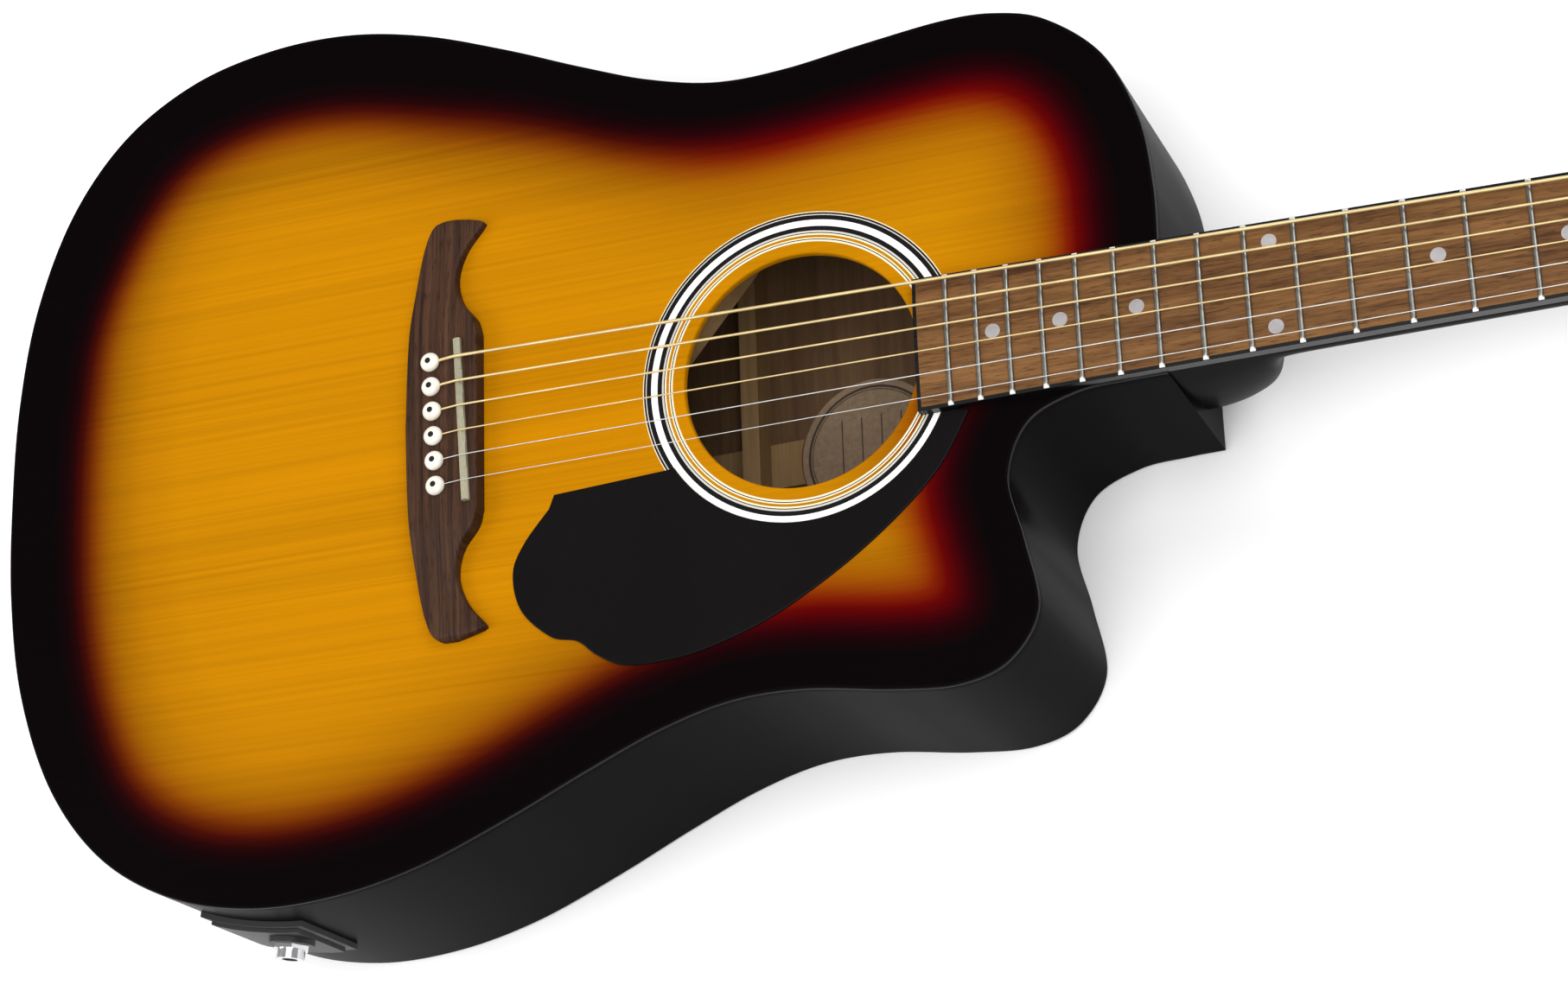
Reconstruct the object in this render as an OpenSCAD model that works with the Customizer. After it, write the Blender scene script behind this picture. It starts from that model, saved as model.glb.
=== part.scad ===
// Cutaway dreadnought electro-acoustic guitar lying on its back, millimetres.
// +X runs along the neck to the headstock, +Y is the bass side, +Z comes out of the soundboard.
// Most pieces are drawn in the top frame: origin at the nut, z = 0 on the soundboard.

/* [Scale] */
// Open string length from the nut to the middle of the saddle
scale_len = 643; // [640:1:648]
// Number of frets
fret_count = 20; // [18:1:20]
// Width of the fingerboard at the nut
nut_w = 43; // [42:0.5:44]
// Width of the fingerboard at its soundhole end
board_end_w = 55.6; // [54.5:0.1:56.5]

/* [Body] */
// Length of the soundboard
body_len = 507.5; // [500:0.5:512]
// Widest width, across the lower bout
lower_bout_w = 382; // [378:1:388]
// Depth of the body at the tail
depth_tail = 123; // [118:1:126]
// Depth of the body at the neck
depth_neck = 93; // [90:1:97]
// Thickness of the soundboard
top_t = 2.8; // [2.5:0.1:3.2]
// Thickness of the back
back_t = 2.6; // [2.4:0.1:3]
// Thickness of the sides
side_t = 2.4; // [2:0.1:2.6]
// Diameter of the soundhole
soundhole_d = 98.4; // [96:0.2:100]
// Distance from the nut to the middle of the soundhole
soundhole_s = 503.2; // [502:0.2:505]

/* [Strings] */
// Height of the strings above the soundboard at the nut
string_nut_h = 6.9; // [6.7:0.1:7.2]
// Height of the strings above the soundboard at the saddle
string_saddle_h = 10.3; // [10:0.1:10.8]
// Distance between the outer strings at the nut
nut_spread = 36; // [35:0.5:37]
// Distance between the outer strings at the saddle
saddle_spread = 54.2; // [53:0.2:55]

/* [Headstock] */
// Backward tilt of the headstock
head_angle = 12; // [11:0.5:13]
// Length of the headstock
head_len = 180; // [176:1:184]
// Distance between tuner posts along the headstock
post_pitch = 40; // [39:0.5:41]

/* [Hidden] */
$fn = 64;
far = 1200;
eps = 0.02;

// How far a fret stands from the nut
function fret_s(n) = scale_len * (1 - pow(2, -n / 12));

// Frame of the top: the back lies flat, so the soundboard slopes down towards the neck
joint_fret = 14;
joint_s = fret_s(joint_fret) - 1.1;
taper_slope = (depth_tail - depth_neck) / body_len;
taper = atan(taper_slope);
depth_nut = depth_neck - taper_slope * joint_s;
nut_height = depth_nut * cos(taper);
mid_len = 350;
module on_top() translate([mid_len, 0, nut_height]) rotate([0, taper, 0]) children();

// Frame of the headstock face, just beyond the nut
head_x = 3.2;
head_z = 2.2;
module on_head() on_top() translate([head_x, 0, head_z]) rotate([0, head_angle, 0]) children();

// Smooth curve through the given points
function spline(p, n) = [
    for (i = [0:len(p) - 2])
        for (k = [0:n - 1])
            let (t = k / n, a = p[max(i - 1, 0)], b = p[i], c = p[i + 1])
            let (d = p[min(i + 2, len(p) - 1)])
            0.5 * (2 * b + (c - a) * t + (2 * a - 5 * b + 4 * c - d) * t * t
                + (3 * b - a - 3 * c + d) * t * t * t),
    p[len(p) - 1]
];

// Outline of the body, from the bass shoulder round the tail to the cutaway,
// measured from the neck joint
shape_len = 507.5;
shape_w = 382;
shoulder_points = [
    [0, 27], [0, 52], [-4, 82], [-17, 112], [-39, 131.8], [-60, 139], [-82, 140.2],
    [-115, 137], [-150, 132.8], [-180, 133], [-210, 140.5], [-241, 153], [-275, 168],
    [-313, 182.5], [-350, 190.5], [-388, 190.5], [-425, 182], [-458, 162], [-483, 130],
    [-499, 88], [-506, 44], [-507.5, 0], [-506, -44], [-499, -88], [-483, -130],
    [-458, -162], [-425, -182], [-388, -190.5], [-350, -189.5], [-313, -181.5],
    [-275, -167], [-241, -152], [-210, -139.5], [-180, -132], [-150, -131.5],
    [-115, -136.5], [-88, -138], [-68, -131], [-56, -112], [-60, -84], [-65, -58],
    [-56, -37.5], [-36, -28.6], [-16, -27.2], [0, -27]
];
outline_steps = 5;
body_scale = [body_len / shape_len, lower_bout_w / shape_w];
rim = [
    for (p = spline(shoulder_points, outline_steps))
        [p[0] * body_scale[0] - joint_s, p[1] * body_scale[1]]
];

// The same outline moved inwards by d, with the neck end kept straight
function unit(v) = v / norm(v);
function along(i) = unit(rim[min(i + 1, len(rim) - 1)] - rim[max(i - 1, 0)]);
function inset_rim(d) = [
    for (i = [0:len(rim) - 1])
        let (a = along(i), q = rim[i] + d * [-a[1], a[0]])
        i == 0 ? [rim[0][0] - d, rim[0][1]]
        : i == len(rim) - 1 ? [rim[i][0] - d, rim[i][1] + d] : q
];
module prism(d, z0, z1) translate([0, 0, z0]) linear_extrude(z1 - z0) polygon(inset_rim(d));

// Everything from height z0 to height z1 above the floor
module slab(z0, z1) translate([-far / 2, -far / 2, z0]) cube([far, far, z1 - z0]);

// A box given by its two corners
module box(a, b) translate(a) cube(b - a);

// A closed outline from one half of it, mirrored in the centre line
module both_halves(p) polygon(concat(p, [for (k = [len(p) - 2:-1:1]) [p[k][0], -p[k][1]]]));

// A round bar between two points
module rod(a, b, r) {
    v = b - a;
    turn = [0, acos(v[2] / norm(v)), atan2(v[1], v[0])];
    translate(a) rotate(turn) cylinder(h = norm(v), r = r, $fn = 24);
}

// A solid skinned over a list of rings that have equal numbers of points
module loft(rings) {
    n = len(rings[0]);
    m = len(rings);
    points = [for (r = rings) for (p = r) p];
    first = [for (j = [0:n - 1]) j];
    last = [for (j = [n - 1:-1:0]) (m - 1) * n + j];
    walls = [
        for (i = [0:m - 2])
            for (j = [0:n - 1])
                let (a = i * n + j, b = i * n + (j + 1) % n)
                each [[a, a + n, b], [b, a + n, b + n]]
    ];
    polyhedron(points, concat([first], walls, [last]));
}

// Ring of a tube at p, whose axis runs along t, counted from the direction up
function tube_ring(p, t, up, r, n) =
    let (a = unit(t), side = unit(cross(a, up)), top = cross(side, a))
    [for (k = [0:n - 1]) p + r * (cos(360 * k / n) * top + sin(360 * k / n) * side)];

// ---- Body ----

bind_w = 1.6;
bind_h = 5;
hole_r = soundhole_d / 2;
ring_depth = 1.2;
inner_rings = [hole_r + 5.1, hole_r + 6.8];
outer_rings = [hole_r + 7.9, hole_r + 18];
module at_soundhole() translate([-soundhole_s, 0, 0]) children();
module ring_channel(radii, h) difference() {
    cylinder(h = h, r = radii[1], $fn = 128);
    translate([0, 0, -1]) cylinder(h = h + 2, r = radii[0], $fn = 128);
}
module rosette_rings(h) at_soundhole() translate([0, 0, -ring_depth]) {
    ring_channel(inner_rings, h);
    ring_channel(outer_rings, h);
}

// Places of the six strings, from the low one to the high one
string_r = [0.67, 0.54, 0.41, 0.31, 0.21, 0.16];
place = [0.5, 0.3, 0.1, -0.1, -0.3, -0.5];
function nut_y(i) = place[i] * nut_spread;
function saddle_y(i) = place[i] * saddle_spread;
function saddle_s(i) = scale_len + 5.3 - 3 * (0.5 - place[i]);
function pin_s(i) = scale_len + 17.9 - 2.4 * (0.5 - place[i]);
pin_r = 2.9;
pin_head_r = 3.9;
bridge_h = 7.6;
ball_z = -9.5;
slot_s = 3.6;
module at_pins() for (i = [0:5]) translate([-pin_s(i), saddle_y(i), 0]) children();
module pin_holes() {
    at_pins() translate([0, 0, -16]) cylinder(h = 40, r = pin_r + eps, $fn = 24);
    string_slots();
}
module string_slots() for (i = [0:5])
    translate([slot_s - pin_s(i), saddle_y(i), -16]) cylinder(h = 40, r = string_r[i] + 0.12, $fn = 24);

module soundboard() color("orange") on_top() difference() {
    prism(bind_w + eps, -top_t, 0);
    at_soundhole() translate([0, 0, -10]) cylinder(h = 20, r = hole_r, $fn = 128);
    rosette_rings(ring_depth + 1);
    pin_holes();
}

// Opening in the bass side for the preamp, and in the treble side for the jack
preamp_s = 471;
preamp_y = 136.2;
preamp_z = -46;
preamp_turn = 4.2;
module on_preamp() on_top() translate([-preamp_s, preamp_y, preamp_z])
    rotate([0, 0, preamp_turn]) children();
jack_s = 748;
jack_y = -190;
jack_z = -44;
jack_turn = -6.9;
jack_cut = 9.5;
module on_jack() on_top() translate([-jack_s, jack_y, jack_z]) rotate([0, 0, jack_turn]) children();
preamp_hole = [[-51, -40, -14.5], [47, 20, 14.5]];
button_s = joint_s + body_len;
button_z = -60;
module on_tail() on_top() translate([-button_s, 0, button_z]) rotate([0, -90, 0]) children();
strap_screw_r = 1.75;
module strap_screw_hole() on_tail() translate([0, 0, -30]) cylinder(h = 40, r = strap_screw_r + 0.05);

module sides() color("black") difference() {
    intersection() {
        on_top() difference() {
            prism(0, -depth_tail - 20, -top_t);
            prism(side_t, -depth_tail - 30, 10);
            difference() {
                prism(-5, -bind_h, 10);
                prism(bind_w, -bind_h - 1, 20);
            }
        }
        slab(back_t, far);
    }
    on_preamp() box(preamp_hole[0], preamp_hole[1]);
    on_jack() box([-jack_cut, -30, -jack_cut], [jack_cut, 30, jack_cut]);
    strap_screw_hole();
    on_top() bolt_holes(bolt_r + bolt_gap);
}

module back() color("black") intersection() {
    on_top() prism(0, -depth_tail - 20, 0);
    slab(0, back_t);
}

// Blocks that the neck and the strap button are fastened to
block_len = 42;
tail_block_len = 20;
tail_block_w = 64;
module neck_block_space() box([-joint_s - side_t - block_len, -24.4, -far], [-joint_s - side_t, 40, far]);
module tail_block_space() box([-far, -tail_block_w / 2, -far],
    [side_t + tail_block_len - joint_s - body_len, tail_block_w / 2, far]);
module neck_block() color("tan") intersection() {
    on_top() difference() {
        neck_block_space();
        box([-far, -far, -top_t], [far, far, far]);
        bolt_holes(bolt_r + bolt_gap);
    }
    slab(back_t, far);
}
module tail_block() color("tan") intersection() {
    on_top() intersection() {
        prism(side_t, -depth_tail - 20, -top_t);
        tail_block_space();
    }
    difference() {
        slab(back_t, far);
        strap_screw_hole();
    }
}

// Strips that widen the gluing edges of the sides
lining_w = 6;
lining_h = 14;
module lining_ring() difference() {
    prism(side_t, -depth_tail - 20, -top_t);
    prism(side_t + lining_w, -depth_tail - 30, 10);
    neck_block_space();
    tail_block_space();
}
module top_lining() color("burlywood") on_top() difference() {
    intersection() {
        lining_ring();
        box([-far, -far, -top_t - lining_h], [far, far, 0]);
    }
}
module back_lining() color("burlywood") intersection() {
    on_top() lining_ring();
    slab(back_t, back_t + lining_h);
}

// Braces under the soundboard: an X behind the soundhole, a bar across the shoulders
brace_w = 8;
brace_h = 13;
cross_s = soundhole_s + 72;
cross_angle = 49;
bar_s = joint_s + 76;
module bar(long, w, h) translate([-long / 2, -w / 2, -h]) cube([long, w, h]);
module inside_lining() prism(side_t + lining_w + 0.4, -depth_tail, -top_t);
module cross_bar(side) translate([-cross_s, 0, -top_t]) rotate([0, 0, side * cross_angle])
    bar(420, brace_w, brace_h);
module half_lap(z0, z1) intersection() {
    cross_bar(z0 < -top_t - brace_h / 2 ? -1 : 1);
    box([-far, -far, z0], [far, far, z1]);
}
lap_z = -top_t - brace_h / 2;
module x_braces() color("wheat") on_top() intersection() {
    inside_lining();
    difference() {
        union() {
            difference() {
                cross_bar(1);
                half_lap(-far, lap_z);
            }
            difference() {
                cross_bar(-1);
                half_lap(lap_z, far);
            }
        }
        shoulder_bar();
    }
}
module shoulder_bar() translate([-bar_s, 0, -top_t]) rotate([0, 0, 90]) bar(400, 12, brace_h);
// Tone bars in the lower bout: distance from the nut, sideways shift, turn and length of each
tone_places = [[718, 0, 70, 190], [768, 6, 74, 170]];
tone_w = 7;
tone_h = 11;
module tone_bars() color("wheat") on_top() intersection() {
    inside_lining();
    union() {
        shoulder_bar();
        for (t = tone_places) translate([-t[0], t[1], -top_t]) rotate([0, 0, t[2]])
            bar(t[3], tone_w, tone_h);
    }
}
plate_s = [632, 688];
plate_w = 116;
plate_t = 2.5;
module bridge_plate() color("peru") on_top() difference() {
    box([-plate_s[1], -plate_w / 2, -top_t - plate_t], [-plate_s[0], plate_w / 2, -top_t]);
    pin_holes();
}

// Ladder braces and centre strip on the inside of the back
ladder_s = [435, 562, 680, 785];
ladder_w = [8, 8, 18, 18];
ladder_h = [14, 14, 9, 9];
module ladder(i, grow) translate([mid_len - ladder_s[i] - ladder_w[i] / 2 - grow, -far / 2, back_t])
    cube([ladder_w[i] + 2 * grow, far, ladder_h[i]]);
module back_braces() color("burlywood") intersection() {
    on_top() prism(side_t + lining_w + 0.4, -depth_tail - 20, 0);
    for (i = [0:3]) ladder(i, 0);
}
strip_w = 20;
strip_t = 2;
module back_strip() color("wheat") difference() {
    translate([mid_len - joint_s - body_len + 32, -strip_w / 2, back_t])
        cube([body_len - 90, strip_w, strip_t]);
    for (i = [0:3]) ladder(i, eps);
    label_place() cylinder(h = 10, r = label_r + eps, center = true);
}
label_r = 32;
label_t = 0.5;
label_x = mid_len - 512;
module label_place() translate([label_x, 0, back_t]) children();
module label() color("ivory") label_place() cylinder(h = label_t, r = label_r);

module edge_binding() color("dimgray") on_top() difference() {
    prism(0, -bind_h, 0);
    prism(bind_w, -bind_h - 1, 1);
}
module rosette() color("white") on_top() rosette_rings(ring_depth);

// ---- Pickguard and bridge ----

guard_t = 0.8;
guard_points = [
    [-612, -42], [-623, -55], [-628, -67], [-624.5, -83], [-612, -95.5], [-600.5, -99],
    [-592, -106], [-581, -111.5], [-565, -112.3], [-545, -109.5], [-516, -99.6],
    [-480, -78.6], [-450, -53], [-434.5, -28.5]
];
guard_corner = [[-609.5, -36.2]];
guard_inner_edge = [[-500, -28.5], [-561, -33.5]];
module pickguard() color("black") on_top() difference() {
    linear_extrude(guard_t) polygon(concat(guard_corner, spline(guard_points, 4), guard_inner_edge));
    at_soundhole() translate([0, 0, -1]) cylinder(h = 5, r = hole_r + 14.4, $fn = 128);
    board_prism(eps, -1, 10);
}

// Plan of one half of the bridge, from its middle to the curled tip
bridge_half = [
    [-640.5, 0], [-640.5, 38], [-642.5, 45], [-648.5, 53], [-651, 61], [-650.5, 69], [-646.5, 78],
    [-639.5, 86.5], [-639.5, 88.5], [-644, 90], [-652, 92], [-659, 91.5], [-664, 86],
    [-668, 70], [-671.5, 38], [-672.8, 0]
];
bridge_curve = concat([[-640.5, 0]], spline([for (i = [1:14]) bridge_half[i]], 3), [[-672.8, 0]]);
module bridge() color("saddlebrown") on_top() difference() {
    intersection() {
        linear_extrude(bridge_h) both_halves(bridge_curve);
        rotate([90, 0, -90]) translate([0, 0, 600]) linear_extrude(100)
            polygon(concat([[-99, 0]], spline(bridge_section, 5), [[99, 0]]));
    }
    in_slot(saddle_floor, 30);
    pin_holes();
}
bridge_section = [
    [-99, 3.8], [-80, 4], [-62, 5.2], [-46, 7.2], [-34, 7.6], [0, 7.6], [34, 7.6], [46, 7.2], [62, 5.2],
    [80, 4], [99, 3.8]
];

// Saddle: a bone strip set a little askew, lower towards its ends
saddle_t = 3;
saddle_len = 71;
saddle_floor = 3;
pickup_t = 1.2;
saddle_turn = 3.2;
module at_saddle() translate([-(saddle_s(0) + saddle_s(5)) / 2, 0, 0])
    rotate([0, 0, saddle_turn]) children();
module in_slot(z0, z1) at_saddle() translate([-saddle_t / 2, -saddle_len / 2, z0])
    cube([saddle_t, saddle_len, z1 - z0]);
// Each string rests on its own ridge, which falls away to the pins behind and the nut in front
module saddle_ridge(i) {
    from = i == 5 ? -saddle_len / 2 : (saddle_y(i) + saddle_y(i + 1)) / 2;
    to = i == 0 ? saddle_len / 2 : (saddle_y(i) + saddle_y(i - 1)) / 2;
    crest = string_saddle_h - string_r[i];
    half = saddle_t / 2;
    translate([0, to, 0]) rotate([90, 0, 0]) linear_extrude(to - from) polygon([
        [-half, saddle_floor + pickup_t], [half, saddle_floor + pickup_t],
        [half, crest - (i % 2 == 0 ? 0.5 : 1.1)], [0.25, crest - 0.03],
        [-0.1, crest - 0.03], [-half, crest - 0.6]
    ]);
}
module saddle() color("ivory") on_top() at_saddle() for (i = [0:5]) saddle_ridge(i);
module pickup_strip() color("silver") on_top() in_slot(saddle_floor, saddle_floor + pickup_t);

module bridge_pins() color("ivory") on_top() difference() {
    at_pins() {
        translate([0, 0, -8]) cylinder(h = bridge_h + 8, r = pin_r, $fn = 24);
        translate([0, 0, bridge_h]) cylinder(h = 1, r = pin_head_r);
        translate([0, 0, bridge_h + 1]) intersection() {
            translate([0, 0, -0.9]) sphere(r = pin_head_r + 0.1);
            cylinder(h = 10, r = pin_head_r);
        }
    }
    string_slots();
}

// ---- Fingerboard ----

board_h = 5.4;
crown_r = 400;
board_end_s = 454;
board_bind = 1.5;
fret_w = 2.2;
fret_h = 1.1;
tang_w = 0.6;
tang_h = 1.9;
marker_r = 3;
marker_t = 1.2;
function board_w(s) = nut_w + (board_end_w - nut_w) * s / board_end_s;
module board_prism(grow, z0, z1) translate([0, 0, z0]) linear_extrude(z1 - z0) polygon([
    [0, nut_w / 2 + grow], [0, -nut_w / 2 - grow],
    [-board_end_s - grow, -board_end_w / 2 - grow], [-board_end_s - grow, board_end_w / 2 + grow]
]);
module crown(lift) translate([-board_end_s - 20, 0, board_h - crown_r]) rotate([0, 90, 0])
    cylinder(h = board_end_s + 60, r = crown_r + lift, $fn = 256);
module fret_places() for (n = [1:fret_count]) translate([-fret_s(n), 0, 0]) children();
marker_places = [
    [3, 0], [5, 0], [7, 0], [9, 0], [12, 17.4], [12, -17.4], [15, 0], [17, 0], [19, 0]
];
module markers(proud) for (m = marker_places) {
    top_z = board_h - m[1] * m[1] / (2 * crown_r);
    translate([-(fret_s(m[0]) + fret_s(m[0] - 1)) / 2, m[1], top_z - marker_t])
        cylinder(h = marker_t + proud, r = marker_r, $fn = 32);
}

module fingerboard() color("saddlebrown") on_top() difference() {
    intersection() {
        board_prism(-board_bind, 0, board_h + 1);
        crown(0);
    }
    fret_places() tang();
    markers(10);
}
module fingerboard_binding() color("black") on_top() intersection() {
    difference() {
        board_prism(0, 0, board_h + 1);
        board_prism(-board_bind, -1, board_h + 2);
        box([-10, -20, -1], [10, 20, 20]);
    }
    crown(0);
}
tang_z = board_h - 1.6 - tang_h;
module tang() box([-tang_w / 2, -40, tang_z], [tang_w / 2, 40, 20]);
module frets() color("silver") on_top() intersection() {
    board_prism(-board_bind, 0, 20);
    crown(fret_h);
    fret_places() difference() {
        box([-fret_w / 2, -40, tang_z], [fret_w / 2, 40, 20]);
        difference() {
            crown(0);
            tang();
        }
    }
}
module fret_markers() color("lightgray") on_top() markers(0);

// ---- Neck ----

// Distance before the body joint, and how far the heel drops below the line of the neck there
heel_profile = [[62, 0], [48, 1], [41, 6], [37, 19], [34, 33], [28, 46], [18, 57], [8, 63], [0, 65]];
heel_drop = 65;
heel_curve = spline(heel_profile, 2);
heel_len = heel_curve[0][0];

// Section of the neck at distance s from the nut: half round, and squarer in the heel
neck_points = 20;
function neck_ring(s, drop) = [
    for (k = [0:neck_points])
        let (a = 180 * k / neck_points, t = drop / heel_drop)
        let (side = a < 90 ? 1 : -1)
        let (y = side * pow(abs(cos(a)), 1 - 0.35 * t) * (1 - 0.33 * t * sin(a)))
        [-s, y * board_w(s) / 2, -(19.5 + s / 130 + drop) * pow(sin(a), 0.9 - 0.35 * t)]
];
neck_rings = [
    neck_ring(-6, 0),
    for (k = [0:10]) neck_ring((joint_s - heel_len) * k / 10, 0),
    for (k = [1:len(heel_curve) - 1]) neck_ring(joint_s - heel_curve[k][0], max(0, heel_curve[k][1]))
];

// Half of the plain headstock outline, from the nut to the tip
head_shape_len = 180;
head_half = [
    [-2, 21.5], [8, 23.5], [20, 30.5], [34, 34.5], [80, 36], [130, 37.5], [160, 37.5],
    [173, 33], [179, 20], [head_shape_len, 0]
];
head_curve = [for (p = spline(head_half, 6)) [p[0] * head_len / head_shape_len, p[1]]];
module head_plan() both_halves(concat([[-2, 0]], head_curve));
head_t = 15;
veneer_t = 1.2;

module neck() color("black") difference() {
    union() {
        on_top() loft(neck_rings);
        on_head() translate([0, 0, -head_t]) linear_extrude(head_t - veneer_t) head_plan();
    }
    on_top() rod_channel();
    on_top() bolt_holes(bolt_r + eps);
    on_top() box([-1.4, -40, -eps], [30, 40, 30]);
    on_head() translate([-5, -far / 2, -veneer_t]) cube([far, far, 40]);
    post_places() translate([0, 0, -40]) cylinder(h = 60, r = 5);
    post_places() for (y = [-6.5, 6.5]) translate([8.5, y, -head_t - 1]) cylinder(h = 9, r = 1.05);
}

// Two bolts from inside the body, through the neck block into the heel
bolt_z = [-24, -50];
bolt_r = 3;
bolt_gap = 0.05;
bolt_in = 9;
bolt_head = [5, 4];
bolt_seat = -joint_s - side_t - block_len;
module bolt_holes(r) for (z = bolt_z) translate([bolt_seat - 10, 0, z]) rotate([0, 90, 0])
    cylinder(h = bolt_in + 10 - joint_s - bolt_seat, r = r);
module neck_bolts() color("gray") on_top() for (z = bolt_z) translate([bolt_seat, 0, z]) rotate([0, 90, 0]) {
    cylinder(h = bolt_in - 0.1 - joint_s - bolt_seat, r = bolt_r);
    translate([0, 0, -bolt_head[1]]) cylinder(h = bolt_head[1], r = bolt_head[0], $fn = 6);
}

rod_r = 2.5;
rod_z = -5;
module rod_channel() {
    box([-joint_s + 14, -3, rod_z - 3.2], [16, 3, 0.1]);
    translate([4, 0, rod_z]) rotate([0, 90, 0]) cylinder(h = 16, r = 4.2);
}
module truss_rod() color("gray") on_top() {
    translate([-joint_s + 16, 0, rod_z]) rotate([0, 90, 0]) cylinder(h = joint_s - 12, r = rod_r);
    translate([4, 0, rod_z]) rotate([0, 90, 0]) cylinder(h = 8, r = 3.9, $fn = 6);
}
module headstock_veneer() color("black") difference() {
    on_head() translate([0, 0, -veneer_t]) linear_extrude(veneer_t) head_plan();
    on_top() box([-30, -40, -20], [nut_t + eps, 40, 30]);
    on_head() translate([3, -4.4, -10]) cube([16, 8.8, 20]);
    post_places() translate([0, 0, -40]) cylinder(h = 60, r = 5);
}
cover_half = spline([[4, 0], [5, 8], [12, 9.5], [22, 7], [30, 3], [31.5, 0]], 5);
module rod_cover() color("black") on_head() linear_extrude(1.4) both_halves(cover_half);
nut_t = 5;
module nut() color("ivory") on_top() difference() {
    box([0, -nut_w / 2, 0], [nut_t, nut_w / 2, string_nut_h + 0.6]);
    rotate([0, -18, 0]) box([nut_t * 0.72, -40, string_nut_h - 2.4], [30, 40, 20]);
    for (i = [0:5]) {
        rod(route(i)[2], route(i)[3], string_r[i] + 0.04);
        rod(route(i)[3], route(i)[4], string_r[i] + 0.04);
    }
}

// ---- Tuners: 1 to 3 on the bass side, 4 to 6 on the treble side ----

post_y = 22;
post_first = 40;
post_x = [post_first, post_first + post_pitch, post_first + 2 * post_pitch,
    post_first + 2 * post_pitch, post_first + post_pitch, post_first];
post_side = [1, 1, 1, -1, -1, -1];
module at_post(i) on_head() translate([post_x[i], 0, 0]) mirror([0, post_side[i] > 0 ? 0 : 1, 0])
    translate([0, post_y, 0]) children();
module post_places() for (i = [0:5]) at_post(i) children();

post_r = 3;
bush_r = 4.8;
gear_r = 6;
gear_z = -head_t - 7;
worm_x = -9;
worm_r = 2.6;
key_r = 2;
house_z = -head_t - 11.5;
run_gap = 0.05;
key_out = 16;

module tuner_housing() difference() {
    union() {
        box([-13.4, -9.4, house_z], [8.2, 11.4, -head_t]);
        translate([8, 0, house_z + 8.5]) linear_extrude(3) square([6, 19], center = true);
        translate([worm_x, 11, gear_z]) rotate([-90, 0, 0]) cylinder(h = 5, r = 3.6);
    }
    translate([0, 0, gear_z - 2]) cylinder(h = 4, r = gear_r + 0.3);
    translate([0, 0, gear_z]) cylinder(h = 30, r = post_r + run_gap);
    translate([0, 0, gear_z - 4.5]) cylinder(h = 6, r = 1.8 + run_gap);
    translate([worm_x, -7, gear_z]) rotate([-90, 0, 0]) cylinder(h = 14, r = worm_r + 0.2);
    translate([worm_x, -7, gear_z]) rotate([-90, 0, 0]) cylinder(h = 40, r = key_r + run_gap);
    for (y = [-6.5, 6.5]) translate([8.5, y, house_z]) cylinder(h = 20, r = 1.05);
}
module tuner_housings() color("silver") post_places() {
    tuner_housing();
    for (y = [-6.5, 6.5]) translate([8.5, y, -head_t - 0.1]) rotate([180, 0, 0])
        translate([0, 0, 3]) cylinder(h = 1.2, r1 = 2, r2 = 1.5);
    for (y = [-6.5, 6.5]) translate([8.5, y, -head_t - 3.2]) cylinder(h = 10, r = 1);
}
module tuner_bushings() color("silver") post_places() difference() {
    union() {
        translate([0, 0, -head_t]) cylinder(h = head_t + 0.5, r = bush_r);
        cylinder(h = 0.8, r = 7.2);
        translate([0, 0, 0.8]) cylinder(h = 2, r = 5.6, $fn = 6);
    }
    translate([0, 0, -head_t - 5]) cylinder(h = 50, r = post_r + run_gap);
}

// Post with its worm wheel, and a cross hole for the string
post_top = 15;
hole_z = 10;
module tuner_post(i) color("silver") at_post(i) difference() {
    union() {
        translate([0, 0, gear_z + 1.6]) cylinder(h = post_top - gear_z - 1.6, r = post_r);
        translate([0, 0, gear_z - 1.6]) cylinder(h = 3.3, r = gear_r);
        translate([0, 0, gear_z - 4.2]) cylinder(h = 4, r = 1.8);
        translate([0, 0, post_top - 3.4]) cylinder(h = 1, r1 = post_r, r2 = post_r + 0.6);
        translate([0, 0, post_top - 2.4]) cylinder(h = 2.4, r = post_r + 0.6);
    }
    translate([0, -10, hole_z]) rotate([-90, 0, 0]) cylinder(h = 20, r = 0.9);
}

// Key: worm, shaft and an oval button
function button_ring(y, a, b) = [for (k = [0:23]) [a * cos(15 * k), y, -b * sin(15 * k)]];
button_rings = [
    button_ring(0, 3, 2.6), button_ring(1.2, 5.4, 3.2), button_ring(4, 8.2, 3.6), button_ring(8, 9.6, 3.7),
    button_ring(12, 9.4, 3.6), button_ring(15, 7.6, 3.3), button_ring(16.6, 5, 2.4), button_ring(17, 3, 1.4)
];
module tuner_key(i) color("silver") at_post(i) translate([worm_x, 0, gear_z]) {
    translate([0, -6.5, 0]) rotate([-90, 0, 0]) cylinder(h = 13, r = worm_r);
    translate([0, 0, 0]) rotate([-90, 0, 0]) cylinder(h = key_out + 7, r = key_r);
    translate([0, key_out + 1, 0]) rotate([-90, 0, 0]) cylinder(h = 3.4, r1 = 3.4, r2 = 2.8);
    translate([0, key_out + 4, 0]) loft(button_rings);
}

// ---- Strings ----

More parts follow.
